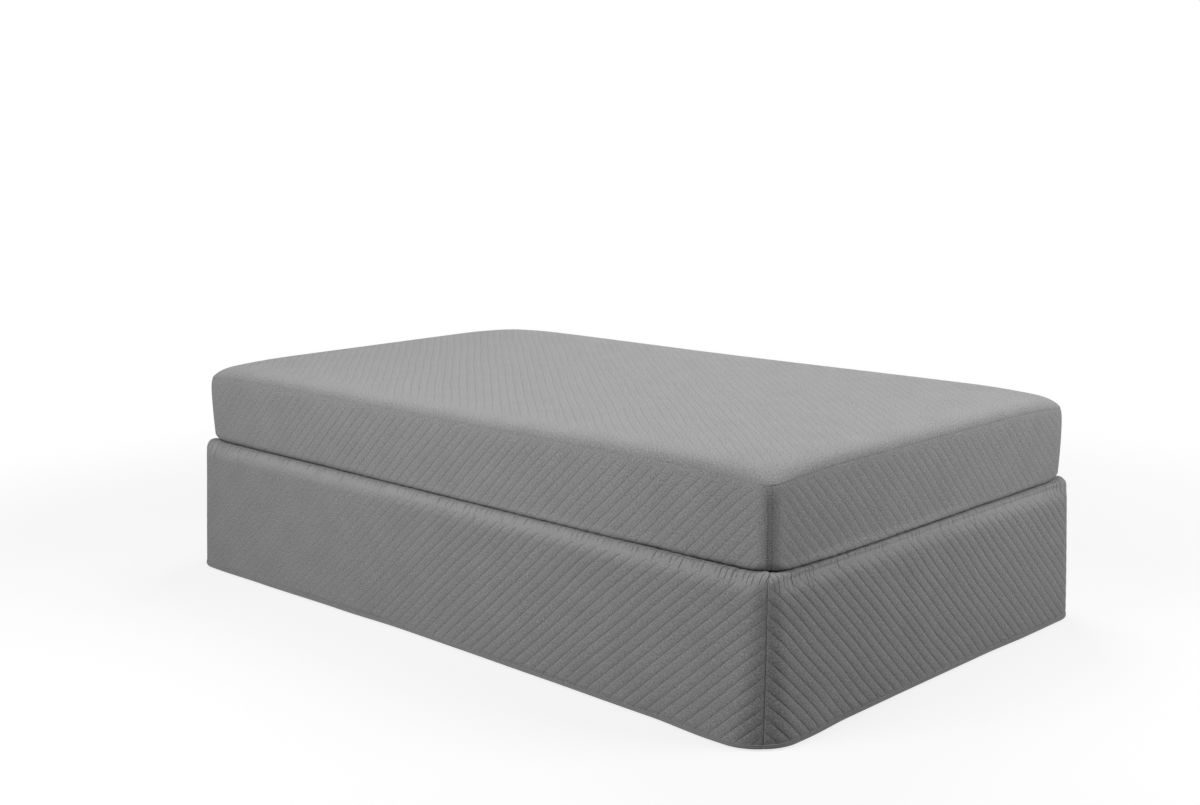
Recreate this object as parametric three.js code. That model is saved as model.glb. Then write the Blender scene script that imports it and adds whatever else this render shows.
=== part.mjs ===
// A quilted mattress protector and its matching skirt, fitted on a plain mattress and box base.
//
// Millimetres, +Z up. The origin is on the floor under the middle of the bed, and +Y is the head.
// The protector is a top panel sewn to four bands, whose lower edges turn under the mattress.
// The skirt is four panels that turn over the top of the base and hang to just above the floor,
// each with a narrow binding round its hem. The corner seams stand at the middle of each corner.
//
// Every piece is worked out from rings: rounded rectangles that lie round the bed one below the
// other. A ring is { z, outX, outY, radius }, where outX and outY say how far it stands outside
// the nominal bed size. Cloth is a run of rings on its outer face, with its thickness inside them.
import * as THREE from "three";

// ---- driving dimensions ----
const BED_WIDTH = 1080; // across the side faces of the protector, along X
const BED_LENGTH = 1880; // from its foot face to its head face, along Y
const BED_TOP = 531; // top of the protector above the floor
const BASE_TOP = 323; // top of the box base above the floor
const CLOTH = 3; // quilted cloth, wadding included
const PIECE_GAP = 0.3; // between pieces that touch
const EDGE_CLEAR = 2.2; // between hanging cloth and the edge that it passes

// protector
const TOP_ROLL_WIDE = 52; // how far the rounded top edge reaches in from the side face
const TOP_ROLL_TALL = 40; // and how far it reaches down
const SEAM_DROP = 27; // the seam between top panel and bands, below the top
const BAND_CORNER = 28; // plan radius of the protector's corners
const TOP_CORNER = 34; // and of its flat top
const TUCK_CORNER = 74; // plan radius where it tucks in under the mattress
const TUCK_WIDE_X = 20; // how far the rounded bottom edge reaches in, sides
const TUCK_WIDE_Y = 12; // and at foot and head
const TUCK_TALL = 20; // how far it reaches up
const BAND_HEM = 88; // how far the hem reaches in under the mattress
const BAND_HEM_CORNER = 59; // plan radius of that hem
const TOP_SAG = 3.2; // the top lies this much lower at mid length
const TOP_SAG_REACH = 680; // and the sag ends this far towards head and foot
const CORNER_DROOP = 11; // the top and its seam fall away by this at the corners
const CORNER_DROOP_REACH = 240; // from this far off

// skirt
const SKIRT_PROUD_X = 25; // the skirt stands outside the protector by this, sides
const SKIRT_PROUD_Y = 17; // and at foot and head
const SKIRT_FLAT_OUT = 5; // its flat top ends this far outside the nominal size
const SKIRT_ROLL_TALL = 17; // and its rounded edge reaches this far down from there
const SKIRT_HEM_IN = 95; // its turned-in edge lies this far in on top of the base
const FLARE_X = 47; // the hem stands outside the protector by this, sides
const FLARE_Y = 30; // and at foot and head
const SKIRT_TOP_CORNER = 30; // plan radius of its corners on top of the base
const SKIRT_CORNER = 48; // just below the rounded edge
const HEM_CORNER = 94; // and at the hem
const SKIRT_EDGE_CORNER = 60; // and at its turned-in edge
const HEM_LIFT = 4; // lowest point of the binding above the floor
const FLARE_CURVE = 1.4; // above 1 the skirt hangs plumb first and flares lower down

// binding round the skirt's hem
const BINDING_TALL = 8;
const BINDING_CLOTH = 1;
const PRESSED_CLOTH = 1.6; // quilted cloth pressed flat inside the binding
const PRESSED_ABOVE = 6; // it thins over this much above the binding

// box base
const BASE_PROUD_X = 14; // the base stands outside the nominal size by this, sides
const BASE_PROUD_Y = 6; // and at foot and head
const BASE_ROLL = 14; // its soft top edge
const BASE_CORNER = 34; // plan radius of its corners
const BASE_TOP_CORNER = 50; // and on top

// mattress underside, inside the turned-in edges of protector and skirt
const SETTLE_CLEAR = 5; // past the skirt's edge before it dips
const SETTLE_SLOPE = 14; // run of the dip down onto the base

const CAP_INSET = 330; // the fans that close flat faces start this far in
const TOP_RING_INSET = 140; // a ring between there and the rounded top edge
const FLAT_CORNER = 44; // plan radius of rings inside flat faces
const CORNER_STEPS = 3; // facets in half a corner
const STRAIGHT_STEPS = 10; // facets along a side between its corners
const CORNER_MIDDLE = Math.PI / 4;

// Outward bulge of the skirt's hem along each kind of side, from one corner to the other.
// at: place along the side, -1 to 1. out: added to the flare, fading to nothing at the base's top.
const LONG_HEM_WAVE = [
  { at: -1.0, out: 8 },
  { at: -0.86, out: 12 },
  { at: -0.68, out: 8 },
  { at: -0.35, out: 0 },
  { at: -0.1, out: -8 },
  { at: 0.12, out: -7 },
  { at: 0.34, out: -5 },
  { at: 0.7, out: -1 },
  { at: 0.86, out: 8 },
  { at: 1.0, out: 5 },
];
const SHORT_HEM_WAVE = [
  { at: -1.0, out: 1 },
  { at: -0.78, out: 3 },
  { at: -0.55, out: -3 },
  { at: -0.2, out: -4 },
  { at: 0.3, out: -4 },
  { at: 0.6, out: 1 },
  { at: 1.0, out: 1 },
];
// How far the protector's lower edge is pushed out again between its corners.
const LONG_TUCK_WAVE = [
  { at: -1.0, out: -4 },
  { at: -0.5, out: -2 },
  { at: 0.1, out: 3 },
  { at: 0.45, out: 5 },
  { at: 0.8, out: 0 },
  { at: 1.0, out: -2 },
];
const SHORT_TUCK_WAVE = [
  { at: -1.0, out: -2 },
  { at: -0.6, out: 3 },
  { at: -0.1, out: 3 },
  { at: 0.4, out: -1 },
  { at: 1.0, out: -4 },
];

// The four sides in turn round the bed. out is the side's outward direction and along runs to
// the next side. Opposite sides are each other turned half round, so the bed stays centred.
const SIDES = [
  { name: "foot", out: [0, -1], along: [1, 0], long: false },
  { name: "right", out: [1, 0], along: [0, 1], long: true },
  { name: "head", out: [0, 1], along: [-1, 0], long: false },
  { name: "left", out: [-1, 0], along: [0, -1], long: true },
];

// ---- rings and stations ----
const degrees = (angle) => (angle * Math.PI) / 180;
const mix = (a, b, share) => a + (b - a) * share;

function readWave(rows, at) {
  const next = rows.findIndex((row) => row.at >= at);
  if (next <= 0) return rows[0].out;
  const before = rows[next - 1];
  const after = rows[next];
  const share = (at - before.at) / (after.at - before.at);
  return mix(before.out, after.out, share * share * (3 - 2 * share));
}

// Stations along one side: from the middle of its first corner to the middle of its last.
function stations() {
  const list = [];
  for (let step = CORNER_STEPS; step > 0; step -= 1) {
    list.push({ corner: -1, turn: (CORNER_MIDDLE * step) / CORNER_STEPS, share: 0 });
  }
  for (let step = 0; step <= STRAIGHT_STEPS; step += 1) {
    list.push({ corner: 0, turn: 0, share: step / STRAIGHT_STEPS });
  }
  for (let step = 1; step <= CORNER_STEPS; step += 1) {
    list.push({ corner: 1, turn: (CORNER_MIDDLE * step) / CORNER_STEPS, share: 1 });
  }
  return list;
}

// The point of a ring at a station of a side. seamGap draws the ends of a panel back from the
// corner seam, so that two neighbouring panels keep a gap.
function pointOn(ring, side, station, seamGap = 0) {
  const halfX = BED_WIDTH / 2 + ring.outX;
  const halfY = BED_LENGTH / 2 + ring.outY;
  const halfAlong = side.long ? halfY : halfX;
  const halfOut = side.long ? halfX : halfY;
  const straight = halfAlong - ring.radius;
  const away = station.corner * Math.sin(station.turn);
  const facing = Math.cos(station.turn);
  let along = mix(-straight, straight, station.share) + ring.radius * away;
  let out = halfOut - ring.radius + ring.radius * facing;
  const fade = 1 - station.turn / CORNER_MIDDLE;
  const push = (ring.push ? ring.push(side, along / halfAlong) : 0) * fade;
  along += push * away;
  out += push * facing;
  if (station.turn === CORNER_MIDDLE) {
    along -= station.corner * seamGap * Math.cos(CORNER_MIDDLE);
    out += seamGap * Math.sin(CORNER_MIDDLE);
  }
  const x = side.along[0] * along + side.out[0] * out;
  const y = side.along[1] * along + side.out[1] * out;
  const drop = (ring.sag ?? 0) * sagAt(y) + (ring.droop ?? 0) * droopAt(x, y);
  return [x, y, ring.z - drop];
}

function sagAt(y) {
  const share = Math.min(Math.abs(y) / TOP_SAG_REACH, 1);
  return (TOP_SAG * (1 + Math.cos(Math.PI * share))) / 2;
}

function droopAt(x, y) {
  const away = Math.hypot(BED_WIDTH / 2 - Math.abs(x), BED_LENGTH / 2 - Math.abs(y));
  return CORNER_DROOP * Math.max(0, 1 - away / CORNER_DROOP_REACH) ** 2;
}

// Moves each ring inward along the normal of the profile, by a depth that may depend on it.
function inside(rings, depthOf) {
  return rings.map((ring, index) => {
    const before = rings[Math.max(index - 1, 0)];
    const after = rings[Math.min(index + 1, rings.length - 1)];
    const runOut = (after.outX + after.outY - before.outX - before.outY) / 2;
    const runDown = before.z - after.z;
    const length = Math.hypot(runOut, runDown);
    const normal = ring.normal ?? { out: runDown / length, up: runOut / length };
    const depth = depthOf(ring, normal);
    return {
      ...ring,
      z: ring.z - depth * normal.up,
      outX: ring.outX - depth * normal.out,
      outY: ring.outY - depth * normal.out,
      radius: ring.radius - depth * normal.out,
    };
  });
}

// ---- solids ----
function solid(points, faces) {
  const geometry = new THREE.BufferGeometry();
  geometry.setAttribute("position", new THREE.Float32BufferAttribute(points.flat(), 3));
  geometry.setIndex(faces.flat());
  geometry.computeVertexNormals();
  return geometry;
}

// A closed section of rings swept along one side, with flat ends.
function sweptPanel(section, side) {
  const list = stations();
  const points = [];
  const faces = [];
  for (const station of list) {
    for (const ring of section) points.push(pointOn(ring, side, station, PIECE_GAP / 2));
  }
  const count = section.length;
  for (let row = 0; row + 1 < list.length; row += 1) {
    for (let column = 0; column < count; column += 1) {
      const a = row * count + column;
      const b = row * count + ((column + 1) % count);
      if (section[column].inner) faces.push([a, b, a + count], [b, b + count, a + count]);
      else faces.push([a, b, b + count], [a, b + count, a + count]);
    }
  }
  // The ends are flat in the corner's diagonal plane. Seen from the panel's last end, the points
  // of the section run anticlockwise.
  const outline = points.slice(0, count).map(([x, y, z]) => {
    const acrossX = (side.along[0] - side.out[0]) * Math.SQRT1_2;
    const acrossY = (side.along[1] - side.out[1]) * Math.SQRT1_2;
    return new THREE.Vector2(acrossX * x + acrossY * y, z);
  });
  const last = (list.length - 1) * count;
  for (const [a, b, c] of THREE.ShapeUtils.triangulateShape(outline, [])) {
    faces.push([a, c, b], [last + a, last + b, last + c]);
  }
  return solid(points, faces);
}

const middleOf = (ring) => [0, 0, ring.z - (ring.sag ?? 0) * sagAt(0)];

// A stack of whole rings round the bed, closed by a fan of facets on its first and last ring.
function stackedRings(rings) {
  const points = [];
  const faces = [];
  const list = stations().slice(0, -1);
  const count = list.length * SIDES.length;
  for (const ring of rings) {
    for (const side of SIDES) {
      for (const station of list) points.push(pointOn(ring, side, station));
    }
  }
  for (let row = 0; row + 1 < rings.length; row += 1) {
    for (let column = 0; column < count; column += 1) {
      const a = row * count + column;
      const b = row * count + ((column + 1) % count);
      if (rings[row].inner) faces.push([a, a + count, b], [b, a + count, b + count]);
      else faces.push([a, b + count, b], [a, a + count, b + count]);
    }
  }
  const last = (rings.length - 1) * count;
  const firstMiddle = points.push(middleOf(rings[0])) - 1;
  const lastMiddle = points.push(middleOf(rings.at(-1))) - 1;
  for (let column = 0; column < count; column += 1) {
    const next = (column + 1) % count;
    faces.push([firstMiddle, column, next], [lastMiddle, last + next, last + column]);
  }
  return solid(points, faces);
}

// ---- the protector ----
const upward = { out: 0, up: 1 };
const outward = { out: 1, up: 0 };
const downward = { out: 0, up: -1 };

// The outer face of the top panel, from its middle out and down to the perimeter seam.
function topPanelRings(edgeGap) {
  const rings = [];
  for (const inset of [CAP_INSET, TOP_RING_INSET]) {
    const flat = { z: BED_TOP, outX: -inset, outY: -inset, radius: FLAT_CORNER };
    rings.push({ ...flat, sag: 1, droop: 1, normal: upward });
  }
  const seamAngle = Math.asin((TOP_ROLL_TALL - SEAM_DROP) / TOP_ROLL_TALL);
  for (const share of [1, 0.75, 0.5, 0.25, 0]) {
    const angle = mix(seamAngle, Math.PI / 2, share);
    const out = TOP_ROLL_WIDE * (Math.cos(angle) - 1);
    rings.push({
      z: BED_TOP - TOP_ROLL_TALL * (1 - Math.sin(angle)) + (share === 0 ? edgeGap : 0),
      outX: out,
      outY: out,
      radius: mix(BAND_CORNER, TOP_CORNER, share),
      sag: share,
      droop: 1,
      normal: share === 1 ? upward : share === 0 ? outward : undefined,
    });
  }
  return rings;
}

// The push is strongest two thirds of the way round the tuck.
function tuckPush(share) {
  const strength = Math.sin(Math.PI * share * 0.75);
  return (side, at) => readWave(side.long ? LONG_TUCK_WAVE : SHORT_TUCK_WAVE, at) * strength;
}

// The outer face of a band, from the perimeter seam down and under to its hem.
function bandRings(edgeGap) {
  const seamOut = topPanelRings(0).at(-1).outX;
  const underside = BASE_TOP + 2 * PIECE_GAP + CLOTH;
  const tuckStart = underside + TUCK_TALL;
  // The corners are a little fuller already where the tuck starts.
  const tuckRadius = (share) => mix(BAND_CORNER, TUCK_CORNER, mix(0.15, 1, share));
  const rings = [
    {
      z: BED_TOP - SEAM_DROP - edgeGap, outX: seamOut, outY: seamOut,
      radius: BAND_CORNER, droop: 1, normal: outward,
    },
    { z: mix(tuckStart, BED_TOP, 0.65), outX: 0.5, outY: 0.5, radius: BAND_CORNER },
    { z: mix(tuckStart, BED_TOP, 0.35), outX: 1.5, outY: 1.5, radius: BAND_CORNER },
    { z: tuckStart, outX: 0, outY: 0, radius: tuckRadius(0), normal: outward },
  ];
  for (const angle of [22.5, 45, 67.5, 90]) {
    const inward = 1 - Math.cos(degrees(angle));
    const share = angle / 90;
    rings.push({
      z: tuckStart - TUCK_TALL * Math.sin(degrees(angle)),
      outX: -TUCK_WIDE_X * inward,
      outY: -TUCK_WIDE_Y * inward,
      radius: tuckRadius(share),
      push: tuckPush(share),
      normal: angle === 90 ? downward : undefined,
    });
  }
  rings.push({
    z: underside, outX: -BAND_HEM, outY: -BAND_HEM, radius: BAND_HEM_CORNER, normal: downward,
  });
  return rings;
}

// The outer face of a sheet followed by its inner face. The inner rings are marked, so that their
// facets are split along the same diagonals as those of whatever lies inside them.
function sheetSection(rings, clothOf = () => CLOTH) {
  const inner = inside(rings, clothOf).map((ring) => ({ ...ring, inner: true }));
  return [...rings, ...inner.reverse()];
}

function protectorTop() {
  return stackedRings(sheetSection(topPanelRings(PIECE_GAP / 2)));
}

function protectorBand(side) {
  return sweptPanel(sheetSection(bandRings(PIECE_GAP / 2)), side);
}

// ---- the mattress inside it ----
// It fills the protector, and its underside settles onto the base inside the turned-in hems.
function mattress() {
  const depthOf = (ring, normal) => {
    const sideways = Math.min(1, 2 * Math.abs(normal.out));
    return CLOTH + mix(PIECE_GAP, EDGE_CLEAR, sideways);
  };
  const lining = inside([...topPanelRings(0), ...bandRings(0).slice(1, -1)], depthOf);
  const rim = lining.at(-1).z;
  const rimEnd = SKIRT_HEM_IN + SETTLE_CLEAR;
  const settledFrom = rimEnd + SETTLE_SLOPE;
  const settled = BASE_TOP + PIECE_GAP;
  return stackedRings([
    ...lining,
    { z: rim, outX: -rimEnd, outY: -rimEnd, radius: FLAT_CORNER },
    { z: settled, outX: -settledFrom, outY: -settledFrom, radius: FLAT_CORNER },
    { z: settled, outX: -CAP_INSET, outY: -CAP_INSET, radius: FLAT_CORNER },
  ]);
}

// ---- the skirt ----
const skirtTop = BASE_TOP + PIECE_GAP + CLOTH;
const hangTop = skirtTop - SKIRT_ROLL_TALL; // where the cloth starts to hang straight
const bindingTop = HEM_LIFT + BINDING_TALL;
const hemEdge = HEM_LIFT + BINDING_CLOTH + PIECE_GAP;
const pressedIn = (CLOTH - PRESSED_CLOTH) / 2;

function hemPush(share) {
  return (side, at) => readWave(side.long ? LONG_HEM_WAVE : SHORT_HEM_WAVE, at) * share;
}

// A ring of the hanging part, at a height between the rounded top edge and the floor.
function hangingRing(z) {
  const fall = 1 - z / hangTop;
  const share = fall ** FLARE_CURVE;
  return {
    z,
    outX: mix(SKIRT_PROUD_X, FLARE_X, share),
    outY: mix(SKIRT_PROUD_Y, FLARE_Y, share),
    radius: mix(SKIRT_CORNER, HEM_CORNER, fall ** 2),
    push: hemPush(share),
    cloth: CLOTH,
  };
}

// The outer face of a skirt panel, from its turned-in edge over the base's edge to the hem.
function skirtRings() {
  const rings = [{
    z: skirtTop, outX: -SKIRT_HEM_IN, outY: -SKIRT_HEM_IN,
    radius: SKIRT_EDGE_CORNER, cloth: CLOTH, normal: upward,
  }];
  for (const angle of [90, 70, 50, 32, 15, 0]) {
    const reach = Math.cos(degrees(angle));
    rings.push({
      z: skirtTop - SKIRT_ROLL_TALL * (1 - Math.sin(degrees(angle))),
      outX: mix(SKIRT_FLAT_OUT, SKIRT_PROUD_X, reach),
      outY: mix(SKIRT_FLAT_OUT, SKIRT_PROUD_Y, reach),
      radius: mix(SKIRT_TOP_CORNER, SKIRT_CORNER, reach),
      cloth: CLOTH,
      normal: angle === 90 ? upward : angle === 0 ? outward : undefined,
    });
  }
  for (const share of [0.66, 0.38, 0.17]) rings.push(hangingRing(share * hangTop));
  rings.push(hangingRing(bindingTop + PRESSED_ABOVE));
  for (const z of [bindingTop + PRESSED_ABOVE / 6, hemEdge]) {
    const ring = hangingRing(z);
    rings.push({
      ...ring,
      outX: ring.outX - pressedIn,
      outY: ring.outY - pressedIn,
      radius: ring.radius - pressedIn,
      cloth: PRESSED_CLOTH,
      normal: outward,
    });
  }
  return rings;
}

function skirtPanel(side) {
  return sweptPanel(sheetSection(skirtRings(), (ring) => ring.cloth), side);
}

// A folded strip that closes over the hem, its two legs outside and inside the pressed cloth.
function skirtBinding(side) {
  const at = (z, out) => {
    const ring = hangingRing(z);
    const shift = out - pressedIn;
    return {
      ...ring, outX: ring.outX + shift, outY: ring.outY + shift, radius: ring.radius + shift,
    };
  };
  const outerLeg = { inner: PIECE_GAP, outer: PIECE_GAP + BINDING_CLOTH };
  const innerLeg = {
    inner: -PRESSED_CLOTH - PIECE_GAP,
    outer: -PRESSED_CLOTH - PIECE_GAP - BINDING_CLOTH,
  };
  const fold = HEM_LIFT + BINDING_CLOTH;
  return sweptPanel([
    at(bindingTop, outerLeg.inner),
    at(bindingTop, outerLeg.outer),
    at(HEM_LIFT, outerLeg.outer),
    at(HEM_LIFT, innerLeg.outer),
    at(bindingTop, innerLeg.outer),
    at(bindingTop, innerLeg.inner),
    at(fold, innerLeg.inner),
    at(fold, outerLeg.inner),
  ], side);
}

// ---- the box base ----
function boxBase() {
  const side = { outX: BASE_PROUD_X, outY: BASE_PROUD_Y, radius: BASE_CORNER };
  const rings = [{ z: BASE_TOP, outX: -CAP_INSET, outY: -CAP_INSET, radius: FLAT_CORNER }];
  for (const angle of [90, 67.5, 45, 22.5, 0]) {
    const inward = 1 - Math.cos(degrees(angle));
    rings.push({
      z: BASE_TOP - BASE_ROLL * (1 - Math.sin(degrees(angle))),
      outX: side.outX - BASE_ROLL * inward,
      outY: side.outY - BASE_ROLL * inward,
      radius: mix(side.radius, BASE_TOP_CORNER, inward),
    });
  }
  rings.push({ ...side, z: 0 });
  return stackedRings(rings);
}

// ---- materials and assembly ----
const cloth = (color) => new THREE.MeshStandardMaterial({ color, roughness: 0.9, metalness: 0 });
const quiltedGrey = () => cloth(0x8d8d8d);
const bindingGrey = () => cloth(0x858585);
const plainTicking = () => cloth(0xe9e7e2);

const bed = new THREE.Group();

function addPiece(name, geometry, material) {
  const mesh = new THREE.Mesh(geometry, material);
  mesh.name = name;
  bed.add(mesh);
}

addPiece("box_base", boxBase(), plainTicking());
addPiece("mattress", mattress(), plainTicking());
addPiece("protector_top_panel", protectorTop(), quiltedGrey());
for (const side of SIDES) {
  addPiece(`protector_band_${side.name}`, protectorBand(side), quiltedGrey());
  addPiece(`skirt_panel_${side.name}`, skirtPanel(side), quiltedGrey());
  addPiece(`skirt_binding_${side.name}`, skirtBinding(side), bindingGrey());
}

export default bed;
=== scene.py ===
# %% [markdown]
# # A quilted mattress protector and its skirt
# A plain bed wears two quilted covers of one grey cloth. The protector is a top panel sewn to four
# bands, which turn under the mattress. The skirt is four panels, which turn over the top edge of
# the box base and hang to the floor, each bound along its hem with a narrow folded strip.
#
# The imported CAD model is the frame: it fixes every size. Its solids are plain sheets, and this
# lesson replaces each with a detailed one of the same shape: puffed diamonds between sunk stitch
# lines, seams, gathers, binding and thread.

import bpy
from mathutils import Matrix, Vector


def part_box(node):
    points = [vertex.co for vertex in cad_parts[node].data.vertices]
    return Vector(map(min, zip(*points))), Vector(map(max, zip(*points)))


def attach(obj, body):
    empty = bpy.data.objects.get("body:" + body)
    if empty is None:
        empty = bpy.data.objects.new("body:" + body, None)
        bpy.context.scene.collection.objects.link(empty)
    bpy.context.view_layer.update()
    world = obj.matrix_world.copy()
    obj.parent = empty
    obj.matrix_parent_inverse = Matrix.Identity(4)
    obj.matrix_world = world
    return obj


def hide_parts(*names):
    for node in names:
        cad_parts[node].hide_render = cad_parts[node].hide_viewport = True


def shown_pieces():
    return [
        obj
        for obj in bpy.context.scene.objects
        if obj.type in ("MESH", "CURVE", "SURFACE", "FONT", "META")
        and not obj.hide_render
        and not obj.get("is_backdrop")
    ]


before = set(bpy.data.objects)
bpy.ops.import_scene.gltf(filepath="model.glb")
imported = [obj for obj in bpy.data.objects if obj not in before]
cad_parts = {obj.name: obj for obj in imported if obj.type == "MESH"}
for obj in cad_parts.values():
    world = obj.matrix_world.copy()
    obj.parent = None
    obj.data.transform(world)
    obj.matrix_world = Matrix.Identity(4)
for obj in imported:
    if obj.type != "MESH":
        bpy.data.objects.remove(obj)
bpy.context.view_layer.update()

# %% Libraries and units
import math
from collections import namedtuple
from functools import partial

import bmesh
import bpy
import numpy as np
from mathutils import Matrix, Vector
from mathutils.geometry import delaunay_2d_cdt

MM = 0.001
QUARTER_TURN = math.pi / 2
CORNER_MIDDLE = math.pi / 4
bpy.ops.object.select_all(action="DESELECT")

# %% [markdown]
# ## The camera
# The camera comes first, so that every step can be looked at. It stands off the near corner of the
# foot, a little above the bed, and looks slightly down. A camera looks along its own -Z with +Y up,
# so its turn is built from three directions: right, up, and back.

# %% Make the camera
CAMERA_PLACE = (-2.7245, -2.6621, 1.1500)
CAMERA_YAW, CAMERA_PITCH, CAMERA_ROLL = 45.414, 10.154, -0.5765  # degrees
CAMERA_LENS = 47.17  # mm, on a sensor 36 mm wide

yaw, pitch, roll = (math.radians(v) for v in (CAMERA_YAW, CAMERA_PITCH, CAMERA_ROLL))
ahead = Vector((math.sin(yaw) * math.cos(pitch), math.cos(yaw) * math.cos(pitch), -math.sin(pitch)))
level_right = Vector((math.cos(yaw), -math.sin(yaw), 0))
level_up = level_right.cross(ahead)
right = math.cos(roll) * level_right + math.sin(roll) * level_up
up = -math.sin(roll) * level_right + math.cos(roll) * level_up

camera_data = bpy.data.cameras.new("camera")
camera_data.lens = CAMERA_LENS
camera_data.sensor_width = 36
camera = bpy.data.objects.new("camera", camera_data)
camera.matrix_world = Matrix.Translation(CAMERA_PLACE) @ Matrix((right, up, -ahead)).transposed().to_4x4()
bpy.context.scene.collection.objects.link(camera)
bpy.context.scene.camera = camera
print("camera:", CAMERA_LENS, "mm lens at", CAMERA_PLACE)

# %% [markdown]
# ## The bed's shape
# Both covers lie round the bed in rings: rounded rectangles, one below the other. A ring has a
# height, how far it stands outside the bed's nominal size on the long and on the short sides, and
# the plan radius of its corners. The overall sizes are read from the frame's boxes, and the small
# ones, such as the curve of an edge, are the cloth's own and are named here.

# %% Sizes from the frame
top_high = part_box("protector_top_panel")[1]
band_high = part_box("protector_band_foot")[1]
base_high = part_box("box_base")[1]
skirt_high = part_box("skirt_panel_foot")[1]
hem_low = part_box("skirt_binding_foot")[0]

CLOTH = 3 * MM  # quilted cloth, wadding included
PIECE_GAP = 0.3 * MM
BED_TOP = top_high.z
BASE_TOP = base_high.z
SKIRT_TOP = skirt_high.z
SEAM_Z = band_high.z + PIECE_GAP / 2
SEAM_IN = 2.8 * MM  # the top panel's solid ends this far inside the nominal size
HALF_X = top_high.x + SEAM_IN
HALF_Y = top_high.y + SEAM_IN
print(f"bed {2 * HALF_X:.3f} x {2 * HALF_Y:.3f} m, top at {BED_TOP:.3f}, base at {BASE_TOP:.3f}")

# %% Curves of the edges and corners
TOP_ROLL_WIDE, TOP_ROLL_SQUARE = 66 * MM, 0.8  # below 1 the roll is squarer than a quarter ellipse
CORNER_ROUND, CORNER_ROUND_REACH = 4.5 * MM, 110 * MM  # at the corners the roll is rounder again
TOP_CORNER, BAND_CORNER, TUCK_CORNER, BAND_HEM_CORNER = 34 * MM, 28 * MM, 74 * MM, 59 * MM
TOP_SAG, TOP_SAG_REACH = 3.2 * MM, 680 * MM
CORNER_DROOP, CORNER_DROOP_REACH = 11 * MM, 240 * MM
UNDERSIDE = SKIRT_TOP + PIECE_GAP
TUCK_TALL, TUCK_WIDE_X, TUCK_WIDE_Y = 20 * MM, 20 * MM, 12 * MM
TUCK_START = UNDERSIDE + TUCK_TALL
TUCK_SQUARE_LONG, TUCK_SQUARE_SHORT = 0.85, 0.9  # below 1 the edge is squarer than a quarter ellipse
SEAM_PULL, SEAM_BULGE, BULGE_AT = 0.2 * MM, 0.9 * MM, 26 * MM  # the band swells below the seam
BAND_BOW = 1.5 * MM  # and stands this proud at half its height
DROOP_FALL = 4.3  # the droop of the corners is gone at 1 / 4.3 of the band's height
SEAM_ROUND = 6 * MM  # the seam goes round the corners in a wider arc than the band below it
BAND_HEM_IN = 88 * MM
SKIRT_EDGE_IN, SKIRT_FLAT_OUT, SKIRT_ROLL_TALL = 95 * MM, 5 * MM, 17 * MM
SKIRT_PROUD_X, SKIRT_PROUD_Y, FLARE_X, FLARE_Y = 25 * MM, 17 * MM, 47 * MM, 30 * MM
SKIRT_EDGE_CORNER, SKIRT_TOP_CORNER, SKIRT_CORNER, HEM_CORNER = 60 * MM, 30 * MM, 48 * MM, 86 * MM
HANG_TOP = SKIRT_TOP - SKIRT_ROLL_TALL
FLARE_CURVE = 1.4
HEM_LIFT = hem_low.z
BINDING_TALL, BINDING_CLOTH, PRESSED_CLOTH, PRESSED_ABOVE = 8 * MM, 1 * MM, 1.6 * MM, 6 * MM
HEM_EDGE = HEM_LIFT + BINDING_CLOTH + PIECE_GAP
BINDING_TOP = HEM_LIFT + BINDING_TALL
PRESSED_IN = (CLOTH - PRESSED_CLOTH) / 2

# %% [markdown]
# The cloth isn't perfectly straight between its corners. Two short tables say how far the skirt's
# hem swings out along each kind of side, and two more how far the protector's lower edge bulges.

# %% Waves along the sides: place along the side from -1 to 1, and millimetres outward
LONG_HEM_WAVE = [(-1, 8), (-0.86, 12), (-0.68, 8), (-0.35, 0), (-0.1, -8), (0.12, -7),
                 (0.34, -5), (0.7, -1), (0.86, 8), (1, 5)]
SHORT_HEM_WAVE = [(-1, 1), (-0.78, 3), (-0.55, -3), (-0.2, -4), (0.3, -4), (0.6, 1), (1, 1)]
LONG_TUCK_WAVE = [(-1, -3), (-0.5, -1), (0.1, 4), (0.45, 6), (0.8, 1), (1, -1)]
SHORT_TUCK_WAVE = [(-1, 2), (-0.6, 8), (-0.1, 7), (0.4, 3), (1, 0)]


def read_wave(rows, at):
    places, outs = np.array(rows, float).T
    at = np.clip(at, places[0], places[-1])
    row = np.clip(np.searchsorted(places, at) - 1, 0, len(places) - 2)
    share = (at - places[row]) / (places[row + 1] - places[row])
    return (outs[row] + (outs[row + 1] - outs[row]) * share * share * (3 - 2 * share)) * MM


# %% [markdown]
# A profile is a run of rings from one edge of a piece of cloth to the other. With it goes the
# length measured down the cloth, so that a place on the flat cloth can be found on the bed.

# %% Profiles of the band and the skirt
Profile = namedtuple("Profile", "down z out_x out_y radius wave droop")
Side = namedtuple("Side", "name out along long")
FOOT = Side("foot", (0, -1), (1, 0), False)
LEFT = Side("left", (-1, 0), (0, -1), True)


def mix(a, b, share):
    return a + (b - a) * share


def profile_of(rings, long):
    table = np.array(rings, float)
    out = table[:, 1] if long else table[:, 2]
    steps = np.hypot(np.diff(out), np.diff(table[:, 0]))
    return Profile(np.concatenate([[0], np.cumsum(steps)]), *table.T)


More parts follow.
